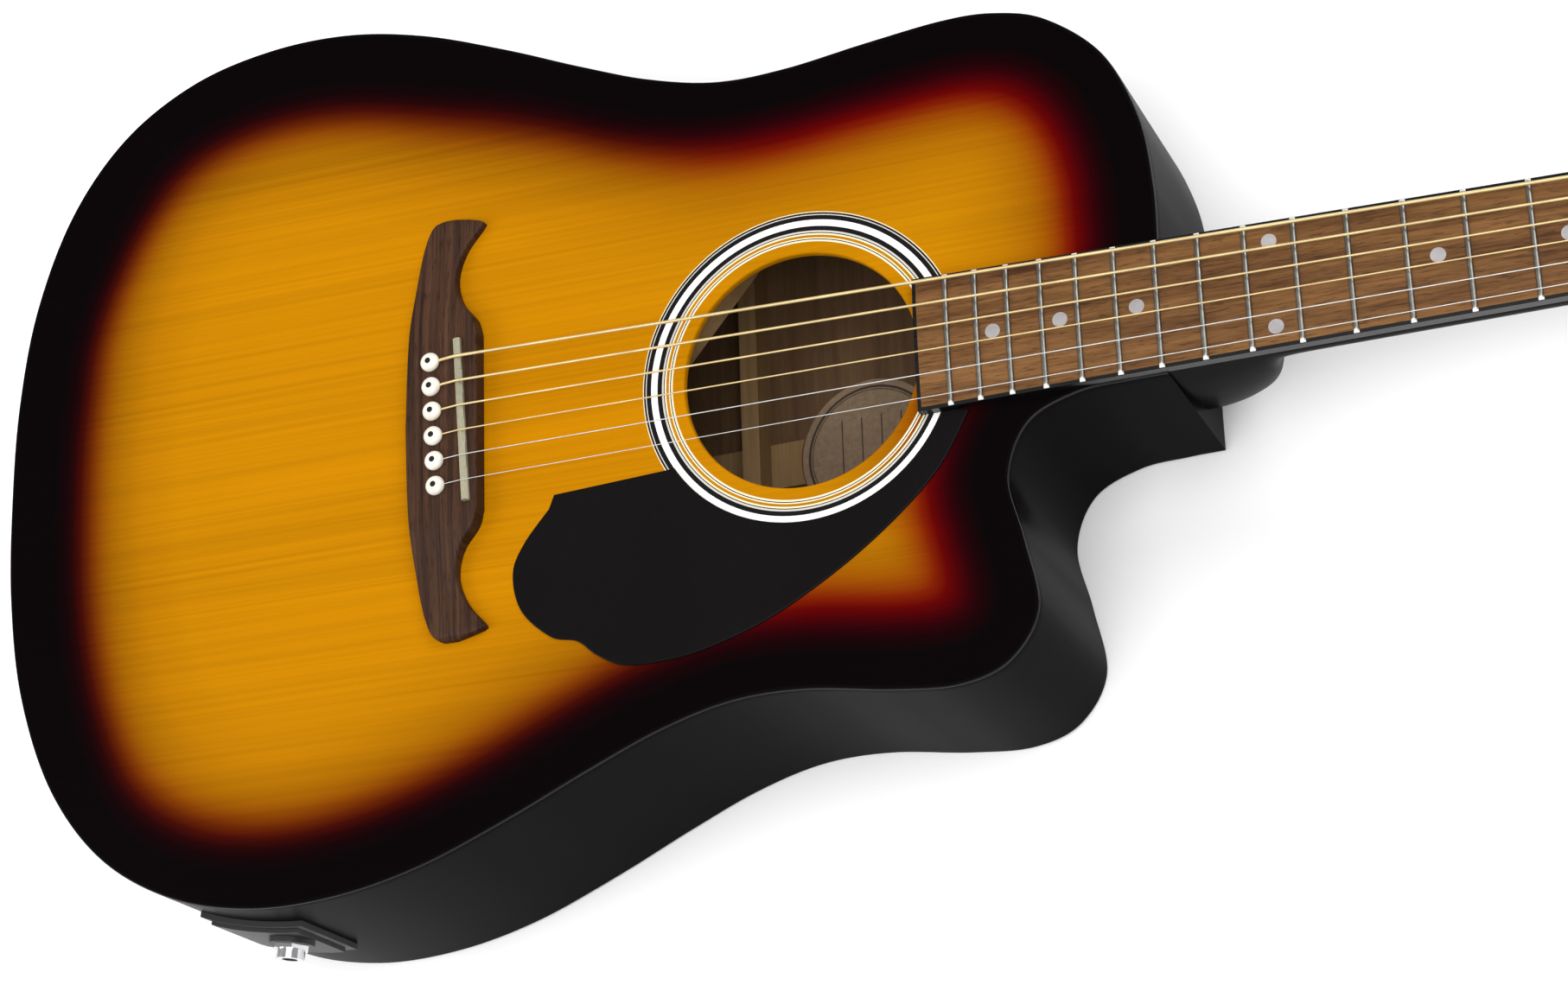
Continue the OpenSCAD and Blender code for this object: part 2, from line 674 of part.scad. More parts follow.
// Route of string i from its ball end over saddle and nut to its post, in the top frame
function to_top(p) = [
    head_x + p[0] * cos(head_angle) + p[2] * sin(head_angle), p[1],
    head_z - p[0] * sin(head_angle) + p[2] * cos(head_angle)
];
coil_z = 8;
turns = 3;
turn_steps = 12;
function coil_r(i) = (post_r + run_gap + string_r[i]) / cos(180 / turn_steps) + eps;
function route(i) = [
    [slot_s - pin_s(i), saddle_y(i), ball_z],
    [slot_s - pin_s(i), saddle_y(i), bridge_h + 0.5],
    [-saddle_s(i), saddle_y(i), string_saddle_h],
    [nut_t * 0.5, nut_y(i), string_nut_h],
    to_top([post_x[i], post_side[i] * (post_y - coil_r(i)), coil_z])
];
tube_sides = 8;
pitch_gap = 0.06;
function coil_point(i, k) =
    let (a = post_side[i] * (360 * k / turn_steps - 90), r = coil_r(i))
    let (drop = (2 * string_r[i] + pitch_gap) * k / turn_steps)
    to_top([post_x[i] + r * cos(a), post_side[i] * post_y + r * sin(a), coil_z - drop]);
function coil_path(i) = [for (k = [0:turns * turn_steps]) coil_point(i, k)];
module string(i) color(i < 4 ? "goldenrod" : "silver") on_top() {
    straight = [for (k = [0:3]) route(i)[k]];
    path = concat(straight, coil_path(i));
    post_axis = to_top([0, 0, 1]) - to_top([0, 0, 0]);
    loft([
        for (k = [0:len(path) - 1])
            let (t = path[min(k + 1, len(path) - 1)] - path[max(k - 1, 0)])
            tube_ring(path[k], t, k < len(straight) ? cross(t, [0, 1, 0]) : post_axis, string_r[i], tube_sides)
    ]);
    translate([slot_s - pin_s(i), saddle_y(i), ball_z - 3]) cylinder(h = 3, r = 1.9, $fn = 24);
}

// ---- Strap button, jack and preamp ----

// Button turned to this profile: distance from its axis and height above the side
button_profile = [
    [0, 0.1], [7, 0.1], [7, 1.6], [4, 3], [4, 9], [6.6, 10.4], [6.6, 12], [5, 13], [0, 13]
];
module strap_button() color("silver") on_tail() {
    rotate_extrude() polygon(button_profile);
    translate([0, 0, -16]) cylinder(h = 17, r = strap_screw_r);
}

// Jack plate: it follows the side and has a raised middle and a collar
plate_x = [-33, 14];
plate_z = [-30, 19];
plate_step = 3.5;
plate_out = [2.4, 4];
collar = [9.5, 6];
jack_r = 6;
bore_r = 3.25;
module plate_layer(out, edge) intersection() {
    on_top() prism(-out, -depth_tail, 0);
    on_jack() box([plate_x[0] + edge, -10, plate_z[0] + edge], [plate_x[1] - edge, 15, plate_z[1] - edge]);
}
module jack_plate() color("black") difference() {
    union() {
        plate_layer(plate_out[0], 0);
        plate_layer(plate_out[1], plate_step);
        on_jack() rotate([90, 0, 0]) cylinder(h = collar[1], r = collar[0]);
    }
    on_top() prism(-eps, -depth_tail - 20, 10);
    on_jack() rotate([90, 0, 0]) translate([0, 0, -30]) cylinder(h = 60, r = jack_r + eps);
}
module output_jack() color("silver") on_jack() rotate([90, 0, 0]) difference() {
    union() {
        translate([0, 0, -26]) cylinder(h = 38, r = jack_r);
        translate([0, 0, -26]) cylinder(h = 22, r = 8);
        translate([0, 0, collar[1] + eps]) cylinder(h = 2, r = 8, $fn = 6);
    }
    translate([0, 0, -20]) cylinder(h = 60, r = bore_r);
}

// Preamp: face plate on the bass side, a battery box and a sound box behind it
face = [[-55, -18.5], [51, 18.5]];
face_y = 2.4;
cell = [26.5, 48.5, 17.5];
cell_x = -32;
knob_x = [-6, 10, 26];
knob_r = 5.5;
stem_r = 2;
press_x = 40;
press_size = [7, 5];
door_x = [-48.5, -15.5];
door_z = [-11.5, 11];
hinge_z = -13.4;
hinge_y = face_y + 1.5;
module preamp_housing() color("black") difference() {
    on_preamp() union() {
        box([face[0][0], -6, face[0][1]], [face[1][0], face_y, face[1][1]]);
        box([-50.6, -54, -14.2], [-13.4, 0, 14.2]);
        box([-14, -34, -14.2], [46.6, 0, 14.2]);
        for (x = [door_x[0] - pin_over, door_x[1] + 0.4]) {
            box([x, 0, hinge_z - 1.3], [x + 3, hinge_y, hinge_z + 1.3]);
            translate([x, hinge_y, hinge_z]) rotate([0, 90, 0]) cylinder(h = 3, r = 1.3);
        }
    }
    // the face plate's back follows the side of the body outside the opening
    difference() {
        on_top() prism(-eps, -depth_tail, 10);
        on_preamp() box(preamp_hole[0] + [0.3, -30, 0.3], preamp_hole[1] - [0.3, 0, 0.3]);
    }
    on_preamp() {
        box([cell_x - cell[0] / 2 - 0.3, -cell[1] - 1.3, -cell[2] / 2 - 0.3],
            [cell_x + cell[0] / 2 + 0.3, 20, cell[2] / 2 + 0.3]);
        for (x = knob_x) translate([x, -30, 0]) rotate([-90, 0, 0]) cylinder(h = 60, r = stem_r + run_gap);
        box([press_x - press_size[0] / 2 - 0.2, -6, -press_size[1] / 2 - 0.2],
            [press_x + press_size[0] / 2 + 0.2, 20, press_size[1] / 2 + 0.2]);
        for (x = [door_x[0] - 5, door_x[1] - 1]) translate([x, hinge_y, hinge_z]) rotate([0, 90, 0])
            cylinder(h = 6, r = hinge_pin_r + run_gap);
    }
}
module battery() color("gray") on_preamp()
    box([cell_x - cell[0] / 2, -cell[1] - 1, -cell[2] / 2], [cell_x + cell[0] / 2, -1, cell[2] / 2]);
door_w = door_x[1] - door_x[0];
door_top = face_y + 2.1;
hinge_r = 1.1;
hinge_pin_r = 0.7;
pin_over = 3.4;
module battery_door() color("black") on_preamp() {
    box([door_x[0], face_y + 0.3, door_z[0]], [door_x[1], door_top, door_z[1]]);
    box([door_x[0], face_y + 0.5, hinge_z], [door_x[1], door_top, door_z[0] + 1]);
    translate([door_x[0], hinge_y, hinge_z]) rotate([0, 90, 0]) cylinder(h = door_w, r = hinge_r);
    translate([door_x[0] - pin_over, hinge_y, hinge_z]) rotate([0, 90, 0])
        cylinder(h = door_w + 2 * pin_over, r = hinge_pin_r);
}
module knob(x) color("dimgray") on_preamp() translate([x, 0, 0]) rotate([-90, 0, 0]) {
    translate([0, 0, face_y + 0.3]) cylinder(h = 6.5, r = knob_r);
    translate([0, 0, -20]) cylinder(h = 24, r = stem_r);
}
module tuner_button() color("gray") on_preamp()
    box([press_x - press_size[0] / 2, -4.6, -press_size[1] / 2],
        [press_x + press_size[0] / 2, face_y + 1.2, press_size[1] / 2]);

soundboard();
sides();
back();
neck_block();
tail_block();
top_lining();
back_lining();
x_braces();
tone_bars();
back_braces();
bridge_plate();
back_strip();
label();
edge_binding();
rosette();
pickguard();
bridge();
saddle();
pickup_strip();
bridge_pins();
fingerboard();
fingerboard_binding();
frets();
fret_markers();
neck();
neck_bolts();
truss_rod();
rod_cover();
nut();
headstock_veneer();
tuner_housings();
tuner_bushings();
for (i = [0:5]) {
    tuner_key(i);
    tuner_post(i);
    string(i);
}
strap_button();
jack_plate();
output_jack();
preamp_housing();
battery();
battery_door();
knob(knob_x[0]);  // knob_volume
knob(knob_x[1]);  // knob_bass
knob(knob_x[2]);  // knob_treble
tuner_button();
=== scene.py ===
import math

import bpy
import numpy as np
from mathutils import Matrix, Vector


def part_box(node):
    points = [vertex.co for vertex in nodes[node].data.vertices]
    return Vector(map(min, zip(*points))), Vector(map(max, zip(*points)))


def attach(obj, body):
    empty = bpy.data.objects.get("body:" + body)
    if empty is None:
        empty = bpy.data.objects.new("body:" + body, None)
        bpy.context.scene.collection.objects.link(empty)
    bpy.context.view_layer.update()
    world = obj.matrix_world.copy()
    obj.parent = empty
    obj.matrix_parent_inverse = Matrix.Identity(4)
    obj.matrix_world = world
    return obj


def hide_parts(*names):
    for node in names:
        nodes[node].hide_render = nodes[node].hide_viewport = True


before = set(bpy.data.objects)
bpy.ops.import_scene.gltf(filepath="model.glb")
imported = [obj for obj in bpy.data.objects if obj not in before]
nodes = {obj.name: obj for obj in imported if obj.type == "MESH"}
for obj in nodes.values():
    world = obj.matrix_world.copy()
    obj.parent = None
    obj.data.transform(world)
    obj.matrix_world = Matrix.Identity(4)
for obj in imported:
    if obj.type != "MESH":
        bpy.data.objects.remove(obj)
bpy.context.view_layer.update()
mm = 0.001
print("frame loaded:", len(nodes), "nodes")

# the instrument's driving sizes, in millimetres
guitar = {
    "scaleLength": 643.0, "jointFret": 14, "jointShift": 1.1, "middle": 350.0,
    "bodyLength": 507.5, "depthTail": 123.0, "depthNeck": 93.0,
    "topThick": 2.8, "sideThick": 2.4, "backThick": 2.6,
    "holeRadius": 49.2, "holeAt": 503.2,
    "bindWide": 1.6, "bindHigh": 5.0,
    "headAngle": 12.0, "headShift": (3.2, 2.2), "headThick": 15.0, "veneer": 1.2,
    "nutWidth": 43.0, "boardEndWidth": 55.6, "boardEndAt": 454.0, "boardHigh": 5.4, "crown": 400.0,
}


def fretAt(n):
    # every twelfth fret halves what is left of the string
    return guitar["scaleLength"] * (1 - 2.0 ** (-np.asarray(n, float) / 12))


jointAt = float(fretAt(guitar["jointFret"])) - guitar["jointShift"]
slope = (guitar["depthTail"] - guitar["depthNeck"]) / guitar["bodyLength"]
taper = math.atan(slope)
nutHeight = (guitar["depthNeck"] - slope * jointAt) * math.cos(taper)


def toRow(points):
    # top frame (origin at the nut, z = 0 on the soundboard, millimetres) to the row frame in metres:
    # a turn by the body's taper about y, then a shift
    x, y, z = np.moveaxis(np.asarray(points, float), -1, 0)
    turned = [x * math.cos(taper) + z * math.sin(taper) + guitar["middle"], y,
              z * math.cos(taper) - x * math.sin(taper) + nutHeight]
    return np.stack(turned, -1) * mm


def headToTop(points):
    # headstock frame to top frame: tilt backwards by the head angle
    x, y, z = np.moveaxis(np.asarray(points, float), -1, 0)
    a = math.radians(guitar["headAngle"])
    sx, sz = guitar["headShift"]
    return np.stack([sx + x * math.cos(a) + z * math.sin(a), y, sz - x * math.sin(a) + z * math.cos(a)], -1)


def floorZ(x, height):
    # top-frame z of the point above x that stands at this height over the floor
    return (height - nutHeight + x * math.sin(taper)) / math.cos(taper)


def smoothCurve(points, steps):
    # each span is the cubic through its two points whose end slopes are half the neighbours' difference
    p = np.asarray(points, float)
    i = np.arange(len(p) - 1)
    a, b, c, d = (p[k][:, None, :] for k in (np.maximum(i - 1, 0), i, i + 1, np.minimum(i + 2, len(p) - 1)))
    t = (np.arange(steps) / steps)[None, :, None]
    spans = 0.5 * (2 * b + (c - a) * t + (2 * a - 5 * b + 4 * c - d) * t ** 2
                   + (3 * b - a - 3 * c + d) * t ** 3)
    return np.vstack([spans.reshape(-1, p.shape[1]), p[-1:]])


def insetLoop(loop, distance):
    # a closed flat outline moved sideways: each point goes along the normal of its neighbours' chord
    along = np.roll(loop, -1, 0) - np.roll(loop, 1, 0)
    along /= np.linalg.norm(along, axis=1)[:, None]
    return loop + distance * np.stack([-along[:, 1], along[:, 0]], -1)


def withZ(flat, z):
    return np.column_stack([flat, np.broadcast_to(z, len(flat))])


def bothHalves(half):
    return np.vstack([half, half[-2:0:-1] * [1, -1]])


def skinFaces(rows, columns, closed=False):
    # quads between neighbouring rings of equal length
    i = np.arange(rows if closed else rows - 1)[:, None]
    j = np.arange(columns)[None, :]
    k, m = (i + 1) % rows, (j + 1) % columns
    quads = np.stack([i * columns + j, i * columns + m, k * columns + m, k * columns + j], -1)
    return quads.reshape(-1, 4).tolist()


def solid(rings, closed=False):
    # points and faces of a skin over rings, with flat ends unless the rings close on themselves
    rings = np.asarray(rings, float)
    rows, columns = rings.shape[:2]
    faces = skinFaces(rows, columns, closed)
    if not closed:
        faces.append(list(range(columns))[::-1])
        faces.append(list(range((rows - 1) * columns, rows * columns)))
    return rings.reshape(-1, 3), faces


def joined(parts):
    # several point and face sets as one
    points, faces, count = [], [], 0
    for p, f in parts:
        points.append(p)
        faces += [[v + count for v in face] for face in f]
        count += len(p)
    return np.vstack(points), faces


def outwardFaces(points, faces):
    # the signed volume of the fans tells whether the skin points outwards
    volume = 0.0
    for size in set(map(len, faces)):
        ids = np.array([f for f in faces if len(f) == size])
        a = points[ids[:, 0]]
        for k in range(1, size - 1):
            volume += np.einsum("ij,ij->i", a, np.cross(points[ids[:, k]], points[ids[:, k + 1]])).sum()
    return faces if volume > 0 else [f[::-1] for f in faces]


def makePiece(name, shape, material, stands=(), body="root", uv=None, values=None, crease=38,
              parts=None):
    # shape is (points in metres, faces); uv and values hold one entry for each point
    points, faces = shape
    faces = outwardFaces(points, faces)
    mesh = bpy.data.meshes.new(name)
    mesh.from_pydata(points.tolist(), [], faces)
    mesh.update()
    corner = np.zeros(len(mesh.loops), int)
    mesh.loops.foreach_get("vertex_index", corner)
    if uv is not None:
        layer = mesh.uv_layers.new(name="plan")
        layer.data.foreach_set("uv", np.asarray(uv, float)[corner].ravel())
    for key, data in (values or {}).items():
        mesh.attributes.new(key, "FLOAT", "POINT").data.foreach_set("value", np.asarray(data, float))
    for m in material if isinstance(material, (list, tuple)) else [material]:
        mesh.materials.append(m)
    if parts is not None:
        mesh.polygons.foreach_set("material_index", np.asarray(parts, np.int32))
    mesh.shade_smooth()
    mesh.set_sharp_from_angle(angle=math.radians(crease))
    piece = bpy.data.objects.new(name, mesh)
    bpy.context.scene.collection.objects.link(piece)
    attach(piece, body)
    if stands:
        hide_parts(*stands)
    return piece


class Wire:
    # one socket of a shader; + - * and / add Math nodes
    def __init__(self, shader, socket):
        self.shader, self.socket = shader, socket

    def combine(self, operation, other, swapped=False):
        pair = (other, self) if swapped else (self, other)
        return self.shader.add("ShaderNodeMath", {"operation": operation}, {0: pair[0], 1: pair[1]})

    def __add__(self, other):
        return self.combine("ADD", other)

    def __sub__(self, other):
        return self.combine("SUBTRACT", other)

    def __rsub__(self, other):
        return self.combine("SUBTRACT", other, True)

    def __mul__(self, other):
        return self.combine("MULTIPLY", other)

    def __truediv__(self, other):
        return self.combine("DIVIDE", other)

    __radd__, __rmul__ = __add__, __mul__

    def step(self, low, high):
        # 0 at low, 1 at high and smooth between; it falls when low is the larger
        return self.shader.add("ShaderNodeMapRange", {"interpolation_type": "SMOOTHSTEP"},
                               {"Value": self, "From Min": low, "From Max": high})


def srgb(red, green, blue):
    # 0 to 255 display values as linear colour
    v = np.array([red, green, blue]) / 255
    return tuple(np.where(v <= 0.04045, v / 12.92, ((v + 0.055) / 1.055) ** 2.4)) + (1.0,)


def scaledTone(colour, gain):
    # display values as linear colour times a gain
    return tuple(v * gain for v in srgb(*colour)[:3]) + (1.0,)


class Shader:
    def __init__(self, name, **finish):
        self.material = bpy.data.materials.new(name)
        self.material.use_nodes = True
        self.tree = self.material.node_tree
        self.tree.nodes.clear()
        out = self.tree.nodes.new("ShaderNodeOutputMaterial")
        self.surface = self.tree.nodes.new("ShaderNodeBsdfPrincipled")
        self.tree.links.new(self.surface.outputs[0], out.inputs[0])
        for key, value in finish.items():
            self.surface.inputs[key.replace("_", " ")].default_value = value

    def add(self, kind, settings=None, sockets=None, output=0):
        node = self.tree.nodes.new(kind)
        for key, value in (settings or {}).items():
            if key == "stops":
                self.setStops(node.color_ramp, *value)
            else:
                setattr(node, key, value)
        for key, value in (sockets or {}).items():
            if isinstance(value, Wire):
                self.tree.links.new(value.socket, node.inputs[key])
            else:
                node.inputs[key].default_value = value
        return Wire(self, node.outputs[output])

    def setStops(self, ramp, stops, interpolation):
        ramp.interpolation = interpolation
        while len(ramp.elements) < len(stops):
            ramp.elements.new(1.0)
        for element, (place, colour) in zip(ramp.elements, stops):
            element.position, element.color = place, colour

    def feed(self, key, wire):
        self.tree.links.new(wire.socket, self.surface.inputs[key])

    def place(self):
        return self.add("ShaderNodeTexCoord", output="Object")

    def plan(self):
        return self.add("ShaderNodeUVMap", {"uv_map": "plan"})

    def value(self, name):
        return self.add("ShaderNodeAttribute", {"attribute_name": name}, output="Fac")

    def scaled(self, vector, factors):
        return self.add("ShaderNodeVectorMath", {"operation": "MULTIPLY"}, {0: vector, 1: factors})

    def parted(self, vector):
        first = self.add("ShaderNodeSeparateXYZ", None, {0: vector})
        return [Wire(self, socket) for socket in first.socket.node.outputs]

    def noise(self, vector, scale=1.0, detail=4.0, roughness=0.55, distortion=0.0):
        return self.add("ShaderNodeTexNoise", None, {"Vector": vector, "Scale": scale, "Detail": detail,
                                                     "Roughness": roughness, "Distortion": distortion})

    def ramp(self, wire, stops, interpolation="LINEAR"):
        return self.add("ShaderNodeValToRGB", {"stops": (stops, interpolation)}, {0: wire})

    def mix(self, factor, first, second, blend="MIX"):
        return self.add("ShaderNodeMix", {"data_type": "RGBA", "blend_type": blend},
                        {"Factor": factor, 6: first, 7: second}, output=2)

    def bump(self, height, strength, distance):
        self.feed("Normal", self.add("ShaderNodeBump", None,
                                     {"Height": height, "Strength": strength, "Distance": distance}))


def grey(v):
    return (v, v, v, 1.0)


# spruce top: colours against the distance from the edge in millimetres, for the lower and upper bout
burst = {
    "lower": [(14, (8, 4, 5)), (20, (20, 2, 5)), (24, (38, 3, 4)), (28, (68, 10, 3)), (32, (100, 34, 2)),
              (36, (129, 59, 2)), (40, (151, 82, 3)), (45, (167, 101, 2)), (50, (177, 112, 3)),
              (62, (197, 127, 3)), (82, (210, 137, 3)), (120, (214, 140, 3))],
    "upper": [(14, (8, 4, 5)), (20, (27, 1, 4)), (24, (46, 0, 6)), (28, (74, 0, 4)), (32, (102, 3, 2)),
              (36, (130, 30, 2)), (40, (150, 63, 3)), (45, (166, 90, 2)), (50, (175, 106, 3)),
              (62, (192, 124, 3)), (82, (208, 137, 3)), (120, (214, 140, 3))],
    "range": 120.0, "gain": 0.68, "roughness": 0.24, "ior": 1.1,
    # the dark edge is drawn broader at the tail and along the bass side, partly the burst's own width and
    # partly painted shade for those sides falling dimmer: it grows between each pair of values
    "burstAndShadeWidth": 7.0, "tailAlong": (770, 850), "tailAcross": (170, 90),
    "bassAlong": (600, 680), "bassAcross": (60, 130),
    "upperFrom": (-600, -500),
}


def burstFinish():
    s = Shader("sunburstSpruce", IOR=burst["ior"])
    flat = s.plan()
    grain = s.noise(s.scaled(flat, (2.5, 620, 1)), 1.0, 3.0, 0.6)
    wide = s.noise(s.scaled(flat, (1.6, 45, 1)), 1.0, 3.0, 0.5)
    cloud = s.noise(s.scaled(flat, (9, 14, 1)), 1.0, 2.0, 0.5)
    edge = s.value("edgeDistance") / (burst["range"] * mm) + (cloud - 0.5) * 0.02
    stops = {bout: [(d / burst["range"], scaledTone(c, burst["gain"])) for d, c in burst[bout]]
             for bout in ("lower", "upper")}
    colour = s.mix(s.value("upperBout"), s.ramp(edge, stops["lower"]), s.ramp(edge, stops["upper"]))
    shade = s.ramp(grain * 0.55 + wide * 0.45, [(0.32, grey(0.80)), (0.5, grey(0.97)), (0.68, grey(1.09))])
    s.feed("Base Color", s.mix(1.0, colour, shade, "MULTIPLY"))
    s.feed("Roughness", cloud * 0.08 + burst["roughness"])
    s.bump(grain * 0.4 + cloud, 0.04, 0.0004)
    return s.material


def lacquerFinish(name, tone, roughness=0.14, specular=0.3, wave=0.04, ior=1.5):
    # dark lacquer with a faint orange peel and fine dust
    s = Shader(name, Specular_IOR_Level=specular, IOR=ior)
    place = s.place()
    dust = s.noise(place, 900.0, 2.0)
    haze = s.noise(place, 9.0, 3.0)
    low, high = srgb(*tone), srgb(*[v + 5 for v in tone])
    s.feed("Base Color", s.ramp(dust * 0.4 + haze * 0.6, [(0.35, low), (0.75, high)]))
    s.feed("Roughness", haze * 0.1 + roughness)
    s.bump(s.noise(place, 70.0, 2.0), wave, 0.0006)
    return s.material


def woodFinish(name, dark, light, along, fine, coarse, pores, roughness, flat=False, specular=0.3):
    # streaks stretched along one axis, with darker pores
    s = Shader(name, Specular_IOR_Level=specular)
    place = s.plan() if flat else s.place()
    across = [1.0 - v for v in along]
    streak = s.noise(s.scaled(place, tuple(coarse * a + 5.0 * (1 - a) for a in across)), 1.0, 4.0, 0.6, 0.5)
    line = s.noise(s.scaled(place, tuple(fine * a + 14.0 * (1 - a) for a in across)), 1.0, 3.0, 0.6, 0.2)
    tone = streak * 0.6 + line * 0.4
    middle = tuple((a + b) / 2 for a, b in zip(srgb(*dark), srgb(*light)))
    colour = s.ramp(tone, [(0.34, srgb(*dark)), (0.5, middle), (0.66, srgb(*light))])
    if pores:
        pit = s.noise(s.scaled(place, tuple(1500.0 * a + 130.0 * (1 - a) for a in across)), 1.0, 2.0, 0.5)
        colour = s.mix(pit.step(0.56, 0.66) * pores, colour, srgb(*[v * 0.45 for v in dark]))
    s.feed("Base Color", colour)
    s.feed("Roughness", line * 0.2 + (roughness - 0.1))
    s.bump(line, 0.25, 0.0003)
    return s.material


def metalFinish(name, tone, roughness=0.2, scale=400.0, metallic=1.0):
    s = Shader(name, Metallic=metallic)
    place = s.place()
    mark = s.noise(place, scale, 3.0)
    soft = s.noise(place, 40.0, 2.0)
    low, high = srgb(*[v * 0.88 for v in tone]), srgb(*tone)
    s.feed("Base Color", s.ramp(mark * 0.5 + soft * 0.5, [(0.3, low), (0.7, high)]))
    s.feed("Roughness", mark * 0.12 + roughness)
    s.bump(mark, 0.08, 0.0001)
    return s.material


def fretFinish(tone, bright):
    # drawn wire with a painted highlight at both ends, where it turns a pale non-metal colour
    s = Shader("fretNickel")
    mark = s.noise(s.place(), 400.0, 3.0)
    end = s.value("paintedEndHighlight")
    wire = s.ramp(mark, [(0.3, srgb(*[v * 0.84 for v in tone])), (0.7, srgb(*tone))])
    s.feed("Base Color", s.mix(end, wire, srgb(*bright)))
    s.feed("Metallic", 1.0 - end)
    s.feed("Roughness", mark * 0.12 + 0.28)
    s.bump(mark, 0.08, 0.0001)
    return s.material


def plasticFinish(name, tone, roughness=0.45, scale=1400.0, relief=0.2, specular=0.4):
    s = Shader(name, Specular_IOR_Level=specular)
    place = s.place()
    fine = s.noise(place, scale, 2.0)
    soft = s.noise(place, 30.0, 3.0)
    low, high = srgb(*[v * 0.9 for v in tone]), srgb(*[min(255, v * 1.04 + 2) for v in tone])
    s.feed("Base Color", s.ramp(fine * 0.3 + soft * 0.7, [(0.35, low), (0.65, high)]))
    s.feed("Roughness", fine * 0.1 + soft * 0.1 + (roughness - 0.1))
    s.bump(fine, relief, 0.0001)
    return s.material


finish = {
    "top": burstFinish(),
    "black": lacquerFinish("blackLacquer", (10, 8, 9)),
    "bodyBlack": lacquerFinish("bodyBlackLacquer", (8, 6, 7), 0.25, 0.5, 0.03, 1.045),
    "binding": lacquerFinish("blackBinding", (9, 8, 9), 0.2, 0.3),
    "guard": lacquerFinish("guardBlack", (12, 10, 11), 0.24, 0.5, 0.02, 1.16),
    "inside": woodFinish("innerVeneer", (74, 50, 30), (112, 84, 56), (0, 1, 0), 300.0, 30.0, 0.15, 0.7),
    "brace": woodFinish("braceSpruce", (128, 98, 62), (158, 128, 88), (0, 1, 0), 500.0, 80.0, 0.0, 0.7),
    "bridge": woodFinish("bridgeRosewood", (26, 14, 9), (76, 50, 35), (0, 1, 0), 900.0, 300.0, 0.5, 0.5,
                         True, 0.12),
    "board": woodFinish("boardWalnut", (66, 39, 20), (126, 88, 50), (1, 0, 0), 900.0, 150.0, 0.45, 0.5,
                        False, 0.12),
    "saddle": plasticFinish("saddleBone", (146, 142, 118), 0.4, 500.0, 0.1),
    "bone": plasticFinish("bone", (206, 200, 172), 0.35, 500.0, 0.1),
    # the fret's second colour is a painted highlight for its ends
    "fret": fretFinish((142, 140, 134), (236, 236, 232)),
    "chrome": metalFinish("tunerChrome", (216, 216, 218), 0.1),
    "steel": metalFinish("bareSteel", (150, 150, 152), 0.35),
    "plain": metalFinish("plainString", (226, 226, 222), 0.4, 400.0, 0.5),
    "pearl": plasticFinish("dotPearl", (158, 154, 154), 0.25, 300.0, 0.02),
    "matte": plasticFinish("mouldedBlack", (22, 21, 22), 0.5),
    "grip": plasticFinish("knobBlack", (30, 29, 30), 0.4),
    "cell": plasticFinish("batteryCase", (70, 72, 78), 0.4),
}
print("finishes made:", len(finish))


def rosetteFinish(rings):
    # rings of black and white line, by distance from the middle of the soundhole
    s = Shader("rosetteLines", Specular_IOR_Level=0.3, Roughness=0.2)
    flat = s.plan()
    radius = s.add("ShaderNodeVectorMath", {"operation": "LENGTH"}, {0: flat}, output="Value")
    stops = [(r / 100, srgb(*tones)) for r, tones in rings]
    colour = s.ramp(radius / 0.1, stops, "CONSTANT")
    speck = s.noise(s.scaled(flat, (700, 700, 1)), 1.0, 2.0)
    shade = s.ramp(speck, [(0.3, grey(0.93)), (0.7, grey(1.0))])
    s.feed("Base Color", s.mix(1.0, colour, shade, "MULTIPLY"))
    s.bump(speck, 0.03, 0.0002)
    return s.material


def pinFinish(dotRadius, soften=0.12):
    # cream with a black dot in the middle, both in millimetres
    s = Shader("pinCream", Specular_IOR_Level=0.5, Roughness=0.25)
    flat = s.plan()
    radius = s.add("ShaderNodeVectorMath", {"operation": "LENGTH"}, {0: flat}, output="Value")
    soft = s.noise(s.place(), 260.0, 2.0)
    cream = s.ramp(soft, [(0.3, srgb(216, 210, 196)), (0.7, srgb(232, 228, 216))])
    dot = radius.step((dotRadius + soften) * mm, (dotRadius - soften) * mm)
    s.feed("Base Color", s.mix(dot, cream, srgb(16, 14, 14)))
    s.bump(soft, 0.05, 0.0002)
    return s.material


def windingFinish(tone, pitch):
    # bronze wire wound round a core: fine ridges along the string
    s = Shader("woundBronze", Metallic=0.5)
    flat = s.plan()
    run = s.parted(flat)[0]
    ridge = (run * (2 * math.pi / (pitch * mm))).combine("SINE", 0.0)
    soft = s.noise(s.place(), 60.0, 2.0)
    stops = [(0.3, srgb(*[v * 0.86 for v in tone])), (0.7, srgb(*tone))]
    s.feed("Base Color", s.ramp(soft + ridge * 0.08, stops))
    s.feed("Roughness", soft * 0.1 + 0.3)
    s.bump(ridge, 0.35, 0.00006)
    return s.material


# paper label: rings by their share of its radius, and ruled lines, in metres
paperLabel = {
    "wideRing": 0.90, "thinRing": 0.86, "ruleGap": 0.009,
    "ruleLength": (0.0155, 0.016), "ruledWidth": (0.0185, 0.019),
}


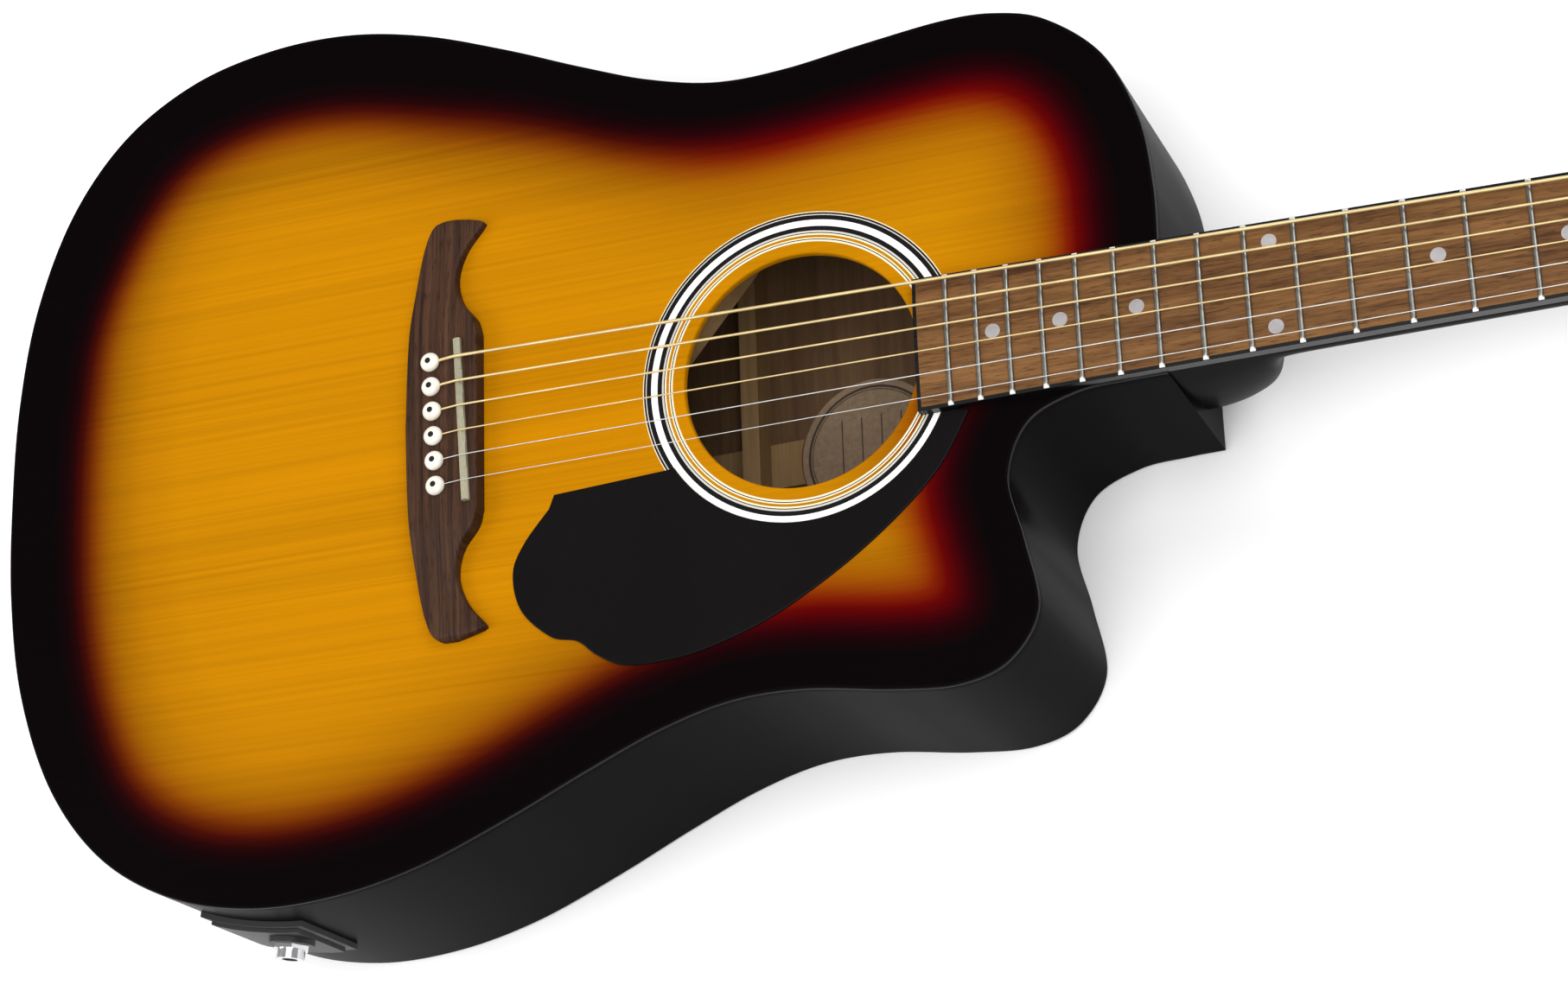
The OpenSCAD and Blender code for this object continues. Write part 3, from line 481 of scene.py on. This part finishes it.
def labelFinish(centre, radius):
    # plain paper with a double ring and ruled lines
    s = Shader("labelPaper", Roughness=0.8, Specular_IOR_Level=0.2)
    off = s.add("ShaderNodeVectorMath", {"operation": "SUBTRACT"}, {0: s.place(), 1: centre})
    x, y, _ = s.parted(off)
    r = s.add("ShaderNodeVectorMath", {"operation": "LENGTH"}, {0: s.scaled(off, (1, 1, 0))}, output="Value")

    def within(distance, inner, outer):
        # 1 nearer than inner, 0 beyond outer
        return 1 - distance.combine("ABSOLUTE", 0).step(inner, outer)

    gap = paperLabel["ruleGap"]
    wide = within(r - paperLabel["wideRing"] * radius, 0.0004, 0.0007)
    thin = within(r - paperLabel["thinRing"] * radius, 0.0001, 0.0003)
    rule = within(((x / gap).combine("FRACT", 0) - 0.5) * gap, 0.00015, 0.0004)
    rule = rule * within(y, *paperLabel["ruleLength"]) * within(x, *paperLabel["ruledWidth"])
    fibre = s.noise(s.place(), 500.0, 3.0)
    paper = s.ramp(fibre, [(0.3, srgb(132, 110, 88)), (0.7, srgb(152, 128, 104))])
    ink = wide.combine("MAXIMUM", thin).combine("MAXIMUM", rule)
    s.feed("Base Color", s.mix(ink * 0.85, paper, srgb(40, 36, 32)))
    s.bump(fibre, 0.1, 0.0001)
    return s.material


# outline from the bass side of the neck round the tail to the cutaway; x is counted from the neck joint
outlinePoints = [
    (0, 27), (0, 52), (-4, 82), (-17, 112), (-39, 131.8), (-60, 139), (-82, 140.2), (-115, 137),
    (-150, 132.8), (-180, 133), (-210, 140.5), (-241, 153), (-275, 168), (-313, 182.5), (-350, 190.5),
    (-388, 190.5), (-425, 182), (-458, 162), (-483, 130), (-499, 88), (-506, 44), (-507.5, 0),
    (-506, -44), (-499, -88), (-483, -130), (-458, -162), (-425, -182), (-388, -190.5), (-350, -189.5),
    (-313, -181.5), (-275, -167), (-241, -152), (-210, -139.5), (-180, -132), (-150, -131.5),
    (-115, -136.5), (-88, -138), (-68, -131), (-56, -112), (-60, -84), (-65, -58), (-56, -37.5),
    (-36, -28.6), (-16, -27.2), (0, -27),
]
outline = smoothCurve(outlinePoints, 12) - [jointAt, 0]
hole = np.array([-guitar["holeAt"], 0.0])


def bodyLoop(distance):
    # the outline moved inwards, closed by a straight neck end
    along = np.gradient(outline, axis=0)
    along /= np.linalg.norm(along, axis=1)[:, None]
    inner = outline + distance * np.stack([-along[:, 1], along[:, 0]], -1)
    inner[0] = outline[0] - [distance, 0]
    inner[-1] = outline[-1] + [-distance, distance]
    t = np.linspace(0, 1, 14)[1:-1, None]
    return np.vstack([inner, inner[-1] * (1 - t) + inner[0] * t])


def edgeDistance(flat, blend=4.5):
    # distance to the finely cut outline with its ridges rounded off: near - blend * ln(sum / expected).
    # The sum adds exp((near - d) / blend) along the edge; expected is close to that sum on a straight edge
    rim = np.vstack([smoothCurve(outlinePoints, 24) - [jointAt, 0], bodyLoop(0)[len(outline):]])
    stride = np.linalg.norm(np.roll(rim, -1, 0) - np.roll(rim, 1, 0), axis=1) / 2
    result = []
    for part in np.array_split(flat, 24):
        away = np.linalg.norm(part[:, None, :] - rim[None], axis=2)
        near = away.min(1)
        total = (np.exp((near[:, None] - away) / blend) * stride).sum(1)
        expected = np.maximum(np.sqrt(2 * math.pi * near * blend), 2 * blend)
        result.append(near - blend * np.maximum(np.log(total / expected), 0))
    return np.concatenate(result)


def smoothRise(v, low, high):
    t = np.clip((v - low) / (high - low), 0, 1)
    return t * t * (3 - 2 * t)


rosette = {
    "inner": (54.3, 56.0), "outer": (57.1, 67.2), "deep": 1.2,
    "rings": [(0, (222, 214, 190)), (54.8, (16, 13, 12)), (55.3, (226, 216, 186)), (57.6, (20, 18, 18)),
              (58.1, (196, 192, 184)), (58.7, (10, 8, 9)), (60.6, (238, 236, 233)), (63.5, (10, 8, 9)),
              (65.4, (200, 196, 190)), (66.0, (20, 18, 17)), (66.45, (222, 208, 176))],
}


def makeTop():
    # rings run from the soundhole out to the binding, with a groove for each part of the rosette
    rim = bodyLoop(guitar["bindWide"])
    away = rim - hole
    turn = away / np.linalg.norm(away, axis=1)[:, None]
    r0, thick, deep = guitar["holeRadius"], guitar["topThick"], rosette["deep"]
    profile = [(r0, -thick), (r0, -0.7), (r0 + 0.15, -0.3), (r0 + 0.5, 0), (r0 + 0.8, 0)]
    for low, high in (rosette["inner"], rosette["outer"]):
        profile += [(low, 0), (low, -deep), (high, -deep), (high, 0)]
    rings = [withZ(hole + turn * r, z) for r, z in profile]
    start = hole + turn * rosette["outer"][1]
    count, crowding = 48, 0.9
    t = (np.arange(1, count + 1) / count) ** crowding
    rings += [withZ(start * (1 - k) + rim * k, 0) for k in t]
    rings.append(withZ(rim, -thick))
    points, faces = solid(rings, closed=True)
    flat = points[:, :2]
    distance = edgeDistance(flat)
    along, across = -flat[:, 0], flat[:, 1]
    # painted shade in part: the dark edge is moved inwards at the tail and along the bass side
    tail = smoothRise(along, *burst["tailAlong"]) * smoothRise(np.abs(across), *burst["tailAcross"])
    bass = smoothRise(along, *burst["bassAlong"]) * smoothRise(across, *burst["bassAcross"])
    burstAndShadeWidth = burst["burstAndShadeWidth"] * (tail + bass)
    upper = smoothRise(flat[:, 0], *burst["upperFrom"])
    makePiece("top", (toRow(points), faces), finish["top"], ["soundboard"],
              uv=(flat - hole) * mm, values={"edgeDistance": (distance - burstAndShadeWidth) * mm, "upperBout": upper})
    inlays = []
    for low, high in (rosette["inner"], rosette["outer"]):
        section = ((low, -deep), (low, 0), (high, 0), (high, -deep))
        inlays.append(solid([withZ(hole + turn * r, z) for r, z in section], True))
    points, faces = joined(inlays)
    makePiece("rosetteInlay", (toRow(points), faces), rosetteFinish(rosette["rings"]),
              ["rosette"], uv=(points[:, :2] - hole) * mm)


# rounding of the binding's and the back's corners, and the rims of the back's flat faces
shell = {"bindCorner": 0.7, "backCorner": 1.6, "backRim": 2.2, "insideRim": 0.6}


def makeShell():
    wide, high, thick = guitar["bindWide"], guitar["bindHigh"], guitar["topThick"]
    side, back = guitar["sideThick"], guitar["backThick"]
    # binding: a strip with its outer corner rounded
    corner = shell["bindCorner"]
    bend = np.radians(np.linspace(0, 90, 5))
    profile = [(0, -high)] + [(corner * (1 - math.cos(a)), corner * (math.sin(a) - 1)) for a in bend]
    profile += [(wide, 0), (wide, -high)]
    points, faces = solid([withZ(bodyLoop(d), z) for d, z in profile], True)
    around = len(points) // len(profile)
    # the upper part of the rounded corner has the binding's finish, the rest the sides'
    plain = np.ones(len(faces), int)
    plain[around:(len(bend) - 1) * around] = 0
    makePiece("edgeBinding", (toRow(points), faces), [finish["binding"], finish["bodyBlack"]],
              ["edge_binding"], parts=plain)

    def standing(distance, height):
        flat = bodyLoop(distance)
        return withZ(flat, floorZ(flat[:, 0], height))

    # sides: wall from the back up to the binding's rebate
    rings = [standing(0, back), withZ(bodyLoop(0), -high), withZ(bodyLoop(wide), -high),
             withZ(bodyLoop(wide), -thick), withZ(bodyLoop(side), -thick), standing(side, back)]
    points, faces = solid(rings, True)
    columns = len(rings[0])
    inner = np.zeros(len(faces), int)
    # the fourth and fifth bands look inwards
    inner[3 * columns:5 * columns] = 1
    makePiece("sideWall", (toRow(points), faces), [finish["bodyBlack"], finish["inside"]],
              ["sides"], parts=inner)
    # back: a flat plate with its lower edge rounded
    corner = shell["backCorner"]
    bend = np.radians(np.linspace(0, 90, 6))
    rings = [standing(shell["backRim"], 0)]
    rings += [standing(corner * (1 - math.sin(a)), corner * (1 - math.cos(a))) for a in bend]
    rings += [standing(0, back), standing(shell["insideRim"], back)]
    points, faces = solid(rings)
    inner = np.zeros(len(faces), int)
    inner[-1] = 1
    makePiece("backPlate", (toRow(points), faces), [finish["bodyBlack"], finish["inside"]],
              ["back"], parts=inner)


makeTop()
makeShell()
print("body made")

# pickguard: a thin sheet on the treble side; clear is its distance from the edge of the soundhole
guard = {
    "thick": 0.8, "clear": 14.4, "arc": (-25.8, -148.6), "boardEnd": (-440.0, -27.5),
    "corner": (-609.5, -36.2), "inner": (-561, -33.5),
    "edge": [(-612, -42), (-623, -55), (-628, -67), (-624.5, -83), (-612, -95.5), (-600.5, -99),
             (-592, -106), (-581, -111.5), (-565, -112.3), (-545, -109.5), (-516, -99.6), (-480, -78.6),
             (-450, -53), (-434.5, -28.5)],
}


def makeGuard():
    # the sheet ends on the rosette along an arc and on the fingerboard along a line
    radius = guitar["holeRadius"] + guard["clear"]
    arc = np.radians(np.linspace(*guard["arc"], 60))
    arc = hole + radius * np.stack([np.cos(arc), np.sin(arc)], -1)
    edge = smoothCurve(guard["edge"], 12)
    loop = np.vstack([[guard["corner"]], edge, [guard["boardEnd"]], arc, [guard["inner"]]])
    profile = [(0, 0), (0, 0.42), (0.12, 0.66), (0.38, guard["thick"]), (0.6, guard["thick"])]
    points, faces = solid([withZ(insetLoop(loop, d), z) for d, z in profile])
    makePiece("guardSheet", (toRow(points), faces), finish["guard"], ["pickguard"])


makeGuard()
print("pickguard made")

# bridge edges as (distance from the middle line, x), and its height at each distance
bridge = {
    "front": [(38, -640.5), (45, -642.5), (53, -648.5), (61, -651), (69, -650.5), (78, -646.5),
              (86.5, -639.5), (88.5, -639.5), (90, -644), (92, -652)],
    "rear": [(0, -672.8), (38, -671.5), (70, -668), (86, -664), (91.5, -659), (92, -652)],
    "height": [(0, 7.6), (34, 7.6), (46, 7.2), (62, 5.2), (80, 4), (99, 3.8)],
    "corner": 1.3,
    # sections as (from, to, count); the rounded ends: where they stop, their length and lowest share
    "sections": [(0, 38, 14), (38, 86, 70), (86, 91.95, 24)],
    "tipEnd": 92.4, "tipLength": 2.4, "tipShare": 0.35,
}
stringSet = {
    "radius": np.array([0.67, 0.54, 0.41, 0.31, 0.21, 0.16]),
    "place": np.array([0.5, 0.3, 0.1, -0.1, -0.3, -0.5]),
    "nutSpread": 36.0, "saddleSpread": 54.2, "nutHigh": 6.9, "saddleHigh": 10.3,
    "pinShift": 3.6, "ball": -9.5, "wound": 4, "pitch": 0.5, "turns": 3,
    # how far the pins and the saddle stand behind the scale's end, and how much less at the treble side
    "pinBehind": (17.9, 2.4), "saddleBehind": (5.3, 3.0), "nutAt": 2.5,
    "ballProfile": [(0.9, -3), (1.6, -2.8), (1.9, -2.3), (1.9, -0.7), (1.6, -0.2), (0.9, 0)],
}
placing = stringSet["place"]
pinAt, saddleAt = (guitar["scaleLength"] + far - less * (0.5 - placing)
                   for far, less in (stringSet["pinBehind"], stringSet["saddleBehind"]))
saddleY = placing * stringSet["saddleSpread"]
nutY = placing * stringSet["nutSpread"]


def makeBridge():
    # sections across the bridge at each y: a flat bottom and a top with rounded edges
    front = smoothCurve(bridge["front"], 10)
    front = np.vstack([[(0, front[0, 1])], front])
    rear = smoothCurve(bridge["rear"], 10)
    high = smoothCurve(bridge["height"], 6)
    y = np.unique(np.concatenate([np.linspace(*section) for section in bridge["sections"]]))
    y = np.concatenate([-y[:0:-1], y])
    frontX = np.interp(np.abs(y), front[:, 0], front[:, 1])
    rearX = np.interp(np.abs(y), rear[:, 0], rear[:, 1])
    top = np.interp(np.abs(y), high[:, 0], high[:, 1])
    # the outer corners fall away near the tips
    inside = np.clip((bridge["tipEnd"] - np.abs(y)) / bridge["tipLength"], 0, 1) ** 0.5
    top = top * (bridge["tipShare"] + (1 - bridge["tipShare"]) * inside)
    corner = np.minimum(bridge["corner"], 0.45 * (frontX - rearX))[:, None]
    bend = np.radians(np.linspace(0, 90, 6))
    run, edgeZ = 1 - np.cos(bend), top[:, None] - corner * (1 - np.sin(bend))
    flank = np.stack([rearX[:, None] + corner * run, edgeZ], -1)
    other = np.stack([frontX[:, None] - corner * run, edgeZ], -1)[:, ::-1]
    foot = np.stack([np.stack([rearX, 0 * y], -1), np.stack([frontX, 0 * y], -1)], 1)
    section = np.concatenate([foot[:, :1], flank, other, foot[:, 1:]], 1)
    rings = np.stack([section[..., 0], np.broadcast_to(y[:, None], section.shape[:2]), section[..., 1]], -1)
    points, faces = solid(rings)
    makePiece("bridgeBlock", (toRow(points), faces), finish["bridge"], ["bridge"],
              uv=points[:, :2] * mm, crease=50)


def revolve(profile, sides):
    # profile of (radius, height) turned about z; the ends are closed by flat caps
    profile = np.asarray(profile, float)
    a = np.arange(sides) * 2 * math.pi / sides
    return np.stack([profile[:, :1] * np.cos(a), profile[:, :1] * np.sin(a),
                     np.broadcast_to(profile[:, 1:], (len(profile), sides))], -1)


# bridge pin as (radius, height), and the radius of its dot
pin = {
    "profile": [(2.9, -8), (2.9, 7.5), (3.75, 7.6), (4.05, 7.95), (4.12, 8.5), (3.95, 9.2), (3.5, 9.8),
                (2.8, 10.3), (1.9, 10.65), (1.0, 10.82), (0.3, 10.86)],
    "sides": 40, "dot": 1.25,
}


def makePins():
    one, faces = solid(revolve(pin["profile"], pin["sides"]))
    spots = [(one + [-pinAt[i], saddleY[i], 0], faces) for i in range(6)]
    points, faces = joined(spots)
    makePiece("pinSet", (toRow(points), faces), pinFinish(pin["dot"]), ["bridge_pins"],
              uv=np.tile(one[:, :2] * mm, (6, 1)))


makeBridge()
makePins()
print("bridge made")

# ends are shares of a fret's half length where it slopes down; the last key gives the shares where the finish
# turns into a painted end highlight
fret = {
    "count": 20, "wide": 2.2, "high": 1.15, "inset": 0.25, "foot": -0.6,
    "ends": [0.94, 0.985, 1.0], "endHeights": [1, 0.8, 0.25], "highlightSpan": (0.955, 0.975),
}


def boardHalf(s):
    # half the width of the fingerboard at distance s from the nut
    widening = guitar["boardEndWidth"] - guitar["nutWidth"]
    return 0.5 * (guitar["nutWidth"] + widening * s / guitar["boardEndAt"])


def makeFrets():
    # half-round wire that follows the crown, with both ends filed to a slope
    at = fretAt(np.arange(1, fret["count"] + 1))
    half = boardHalf(at) - fret["inset"]
    ends = np.array(fret["ends"])
    u = np.concatenate([-ends[::-1], np.linspace(-0.9, 0.9, 25), ends])
    low = np.interp(np.abs(u), ends, fret["endHeights"])
    a = np.radians(np.linspace(0, 180, 13))
    across = np.concatenate([fret["wide"] / 2 * np.cos(a), [-fret["wide"] / 2, fret["wide"] / 2]])
    up = np.concatenate([fret["high"] * np.sin(a) ** 0.8, [fret["foot"]] * 2])
    y = half[:, None] * u
    crown = guitar["boardHigh"] - guitar["crown"] + np.sqrt(guitar["crown"] ** 2 - y ** 2)
    parts = [solid(np.stack([np.broadcast_to(across - s, (len(u), len(across))),
                             np.broadcast_to(yy[:, None], (len(u), len(across))),
                             zz[:, None] + low[:, None] * np.maximum(up, 0) + np.minimum(up, 0)], -1))
             for s, yy, zz in zip(at, y, crown)]
    points, faces = joined(parts)
    # painted highlight: the share of each fret end that takes the pale colour
    highlightSpan = np.tile(np.repeat(smoothRise(np.abs(u), *fret["highlightSpan"]), len(across)), len(at))
    makePiece("fretSet", (toRow(points), faces), finish["fret"], ["frets"],
              values={"paintedEndHighlight": highlightSpan}, crease=60)


makeFrets()
print("frets made")

neck = {
    "start": -6.0, "depth": 19.5, "spread": 130.0, "heelDrop": 65.0, "sections": 24,
    "square": 0.35, "slim": 0.33, "round": 0.9,
    "backRim": 2.4, "backCorner": 1.8, "veneerFrom": 2.3,
    # distance before the body joint, and how far the heel drops below the line of the neck there
    "heel": [(62, 0), (48, 1), (41, 6), (37, 19), (34, 33), (28, 46), (18, 57), (8, 63), (0, 65)],
    "head": [(-2, 21.5), (8, 23.5), (20, 30.5), (34, 34.5), (80, 36), (130, 37.5), (160, 37.5), (173, 33),
             (179, 20), (180, 0)],
}


def makeNeck():
    # half-round sections that deepen into the heel and get squarer there
    heel = smoothCurve(neck["heel"], 6)
    shaftEnd = jointAt - heel[0, 0]
    count = neck["sections"]
    s = np.concatenate([[neck["start"]], np.linspace(0, shaftEnd, count), jointAt - heel[1:, 0]])[:, None]
    drop = np.concatenate([np.zeros(count + 1), np.maximum(heel[1:, 1], 0)])[:, None]
    a = np.radians(np.linspace(0, 180, 61))[None, :]
    t = drop / neck["heelDrop"]
    across, low = np.cos(a), np.clip(np.sin(a), 0, 1)
    bulge = np.sign(across) * np.abs(across) ** (1 - neck["square"] * t)
    y = boardHalf(s) * bulge * (1 - neck["slim"] * t * low)
    z = -(neck["depth"] + s / neck["spread"] + drop) * low ** (neck["round"] - neck["square"] * t)
    shaft = solid(np.stack([np.broadcast_to(-s, y.shape), y, z], -1))
    head = smoothCurve(neck["head"], 14)
    loop = bothHalves(np.vstack([[(head[0, 0], 0)], head]))
    # a positive sum is a clockwise loop, which the inset would widen
    ahead = np.roll(loop, -1, 0)
    if (ahead[:, 0] * loop[:, 1] - loop[:, 0] * ahead[:, 1]).sum() > 0:
        loop = loop[::-1]
    thick, veneer = guitar["headThick"], guitar["veneer"]
    bend = np.radians(np.linspace(0, 90, 6))
    corner = neck["backCorner"]
    rings = [withZ(insetLoop(loop, neck["backRim"]), -thick)]
    rings += [withZ(insetLoop(loop, corner * (1 - math.sin(b))), -thick + corner * (1 - math.cos(b)))
              for b in bend]
    rings += [withZ(loop, -veneer - 0.5), withZ(loop, -veneer)]
    points, faces = solid(rings)
    paddle = (headToTop(points), faces)
    points, faces = joined([shaft, paddle])
    makePiece("neckShaft", (toRow(points), faces), finish["bodyBlack"], ["neck"], crease=30)
    # veneer on the face of the headstock, from the nut outwards
    rings = [withZ(loop, -veneer), withZ(loop, -0.5)]
    rings += [withZ(insetLoop(loop, inset), z) for inset, z in ((0.15, -0.15), (0.5, 0), (0.8, 0))]
    rings = np.stack(rings)
    rings[..., 0] = np.maximum(rings[..., 0], neck["veneerFrom"])
    points, faces = solid(rings)
    makePiece("headFace", (toRow(headToTop(points)), faces), finish["black"],
              ["headstock_veneer"])


makeNeck()
print("neck made")

# where each string's post stands on the headstock
post = {
    "x": [40, 80, 120, 120, 80, 40], "side": [1, 1, 1, -1, -1, -1], "y": 22.0, "radius": 3.05, "coilTop": 8.0,
    "coilGap": 0.15, "turnGap": 0.06,
}


def unitRows(v):
    return v / np.linalg.norm(v, axis=-1, keepdims=True)


def tube(path, up, radius, sides=12):
    # circles square to the path; up steers where each circle starts
    along = unitRows(np.gradient(path, axis=0))
    side = unitRows(np.cross(along, up))
    top = np.cross(side, along)
    a = np.arange(sides) * 2 * math.pi / sides
    cosine, sine = np.cos(a)[None, :, None], np.sin(a)[None, :, None]
    return path[:, None] + radius * (cosine * top[:, None] + sine * side[:, None])


def makeString(i):
    # ball end, pin slot, saddle, nut, and turns round the post
    r = stringSet["radius"][i]
    x = stringSet["pinShift"] - pinAt[i]
    start = [(x, saddleY[i], stringSet["ball"]), (x, saddleY[i], 6.0), (x + 0.25, saddleY[i], 8.2),
             (x + 1.6, saddleY[i], 9.0)]
    high = stringSet["saddleHigh"]
    over = np.array([(-saddleAt[i] - 1.2, saddleY[i], high - 0.12), (-saddleAt[i], saddleY[i], high)])
    side, px = post["side"][i], post["x"][i]
    coil = post["radius"] + r + post["coilGap"]
    k = np.linspace(0, stringSet["turns"], stringSet["turns"] * 24 + 1)
    a = side * (2 * math.pi * k - math.pi / 2)
    wind = headToTop(np.stack([px + coil * np.cos(a), side * post["y"] + coil * np.sin(a),
                               post["coilTop"] - (2 * r + post["turnGap"]) * k], -1))
    nutPoint = np.array([stringSet["nutAt"], nutY[i], stringSet["nutHigh"]])
    spans = 29
    span = np.arange(1, spans + 1)[:, None] / spans
    speaking = over[-1] * (1 - span) + nutPoint * span
    # the last of these points lies a tenth of the way past the start of the turns
    reach = span[1:4] * 8
    after = nutPoint * (1 - reach) + wind[0] * reach
    path = np.vstack([smoothCurve(start, 4), over, speaking, after, wind])
    up = np.tile([0.0, 1.0, 0.0], (len(path), 1))
    up[-len(wind):] = headToTop([[0, 0, 1]])[0] - headToTop([[0, 0, 0]])[0]
    up[:-len(wind)] = np.cross(np.gradient(path, axis=0)[:-len(wind)], [0.0, 1.0, 0.0])
    length = np.concatenate([[0], np.cumsum(np.linalg.norm(np.diff(path, axis=0), axis=1))])
    sides = 12
    body = solid(tube(path, up, r, sides))
    ball = solid(revolve(stringSet["ballProfile"], 20) + path[0])
    points, faces = joined([body, ball])
    run = np.concatenate([np.repeat(length, sides), np.zeros(len(ball[0]))]) * mm
    wound = i < stringSet["wound"]
    makePiece(f"wire{i + 1}", (toRow(points), faces), stringFinish if wound else finish["plain"],
              [f"string_{i + 1}"],
              uv=np.stack([run, 0 * run], -1), crease=60)


stringFinish = windingFinish((232, 206, 150), stringSet["pitch"])
for index in range(6):
    makeString(index)
print("strings made")

# finishes on the nodes that stay as drawn
labelLow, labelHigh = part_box("label")
labelCentre = (labelLow + labelHigh) / 2
kept = {
    "inside": ["neck_block", "tail_block"],
    "brace": ["top_lining", "back_lining", "x_braces", "tone_bars", "back_braces", "bridge_plate",
              "back_strip"],
    "board": ["fingerboard"], "binding": ["fingerboard_binding"], "pearl": ["fret_markers"],
    "bone": ["nut"], "saddle": ["saddle"],
    "steel": ["pickup_strip", "truss_rod", "neck_bolts"], "guard": ["rod_cover"],
    "chrome": ["tuner_housings", "tuner_bushings", "strap_button", "output_jack"]
    + [f"tuner_key_{i}" for i in range(1, 7)] + [f"tuner_post_{i}" for i in range(1, 7)],
    "matte": ["jack_plate", "preamp_housing", "battery_door", "tuner_button"],
    "grip": ["knob_volume", "knob_bass", "knob_treble"], "cell": ["battery"],
}


def dress(node, material):
    piece = nodes[node]
    piece.data.materials.clear()
    piece.data.materials.append(material)


for key, names in kept.items():
    for node in names:
        if node in nodes:
            dress(node, finish[key])
dress("label", labelFinish(tuple(labelCentre), (labelHigh.x - labelLow.x) / 2))
print("kept nodes dressed")

studio = {
    "floorSize": 14.0, "floorTone": 1.0, "floorDrop": 0.0004, "world": 0.45, "aim": (-0.2, 0, 0.08),
    "lamps": [
        {"name": "highLamp", "at": (0.5, -0.8, 3.0), "size": 3.2, "watts": 84},
        {"name": "tailLamp", "at": (-2.6, -0.6, 2.0), "size": 2.0, "watts": 45},
        {"name": "farLamp", "at": (1.9, 1.7, 2.2), "size": 2.0, "watts": 45},
    ],
}
view = {
    "at": (0.34233, -0.51252, 1.27601), "target": (-0.16391, -0.04771, 0.095), "roll": -53.58,
    "lens": 79.815, "sensor": 36.0, "farthest": 50,
}


def makeStudio():
    half, z = studio["floorSize"] / 2, -studio["floorDrop"]
    mesh = bpy.data.meshes.new("floor")
    corners = [(-half, -half, z), (half, -half, z), (half, half, z), (-half, half, z)]
    mesh.from_pydata(corners, [], [(0, 1, 2, 3)])
    floor = bpy.data.objects.new("floor", mesh)
    bpy.context.scene.collection.objects.link(floor)
    pale = Shader("paleFloor", Base_Color=grey(studio["floorTone"]), Roughness=0.9, Specular_IOR_Level=0.1)
    mesh.materials.append(pale.material)
    world = bpy.data.worlds.new("studio")
    world.use_nodes = True
    background = world.node_tree.nodes["Background"]
    background.inputs[0].default_value = grey(1)
    background.inputs[1].default_value = studio["world"]
    bpy.context.scene.world = world
    aim = Vector(studio["aim"])
    for lamp in studio["lamps"]:
        light = bpy.data.lights.new(lamp["name"], "AREA")
        light.shape, light.size, light.energy = "DISK", lamp["size"], lamp["watts"]
        holder = bpy.data.objects.new(lamp["name"], light)
        holder.location = lamp["at"]
        holder.rotation_euler = (aim - Vector(lamp["at"])).to_track_quat("-Z", "Y").to_euler()
        bpy.context.scene.collection.objects.link(holder)


def makeCamera():
    # the view axis runs from place to target, then the picture is turned by the roll
    at, target = Vector(view["at"]), Vector(view["target"])
    ahead = (target - at).normalized()
    level = ahead.cross(Vector((0, 0, 1))).normalized()
    rise = level.cross(ahead)
    turn = math.radians(view["roll"])
    right = level * math.cos(turn) + rise * math.sin(turn)
    up = right.cross(ahead)
    lens = bpy.data.cameras.new("camera")
    lens.lens, lens.sensor_width = view["lens"], view["sensor"]
    lens.clip_end = view["farthest"]
    camera = bpy.data.objects.new("camera", lens)
    camera.matrix_world = Matrix(((right.x, up.x, -ahead.x, at.x), (right.y, up.y, -ahead.y, at.y),
                                  (right.z, up.z, -ahead.z, at.z), (0, 0, 0, 1)))
    bpy.context.scene.collection.objects.link(camera)
    bpy.context.scene.camera = camera


makeStudio()
makeCamera()
bpy.context.scene.view_settings.view_transform = "Standard"
print("studio made")
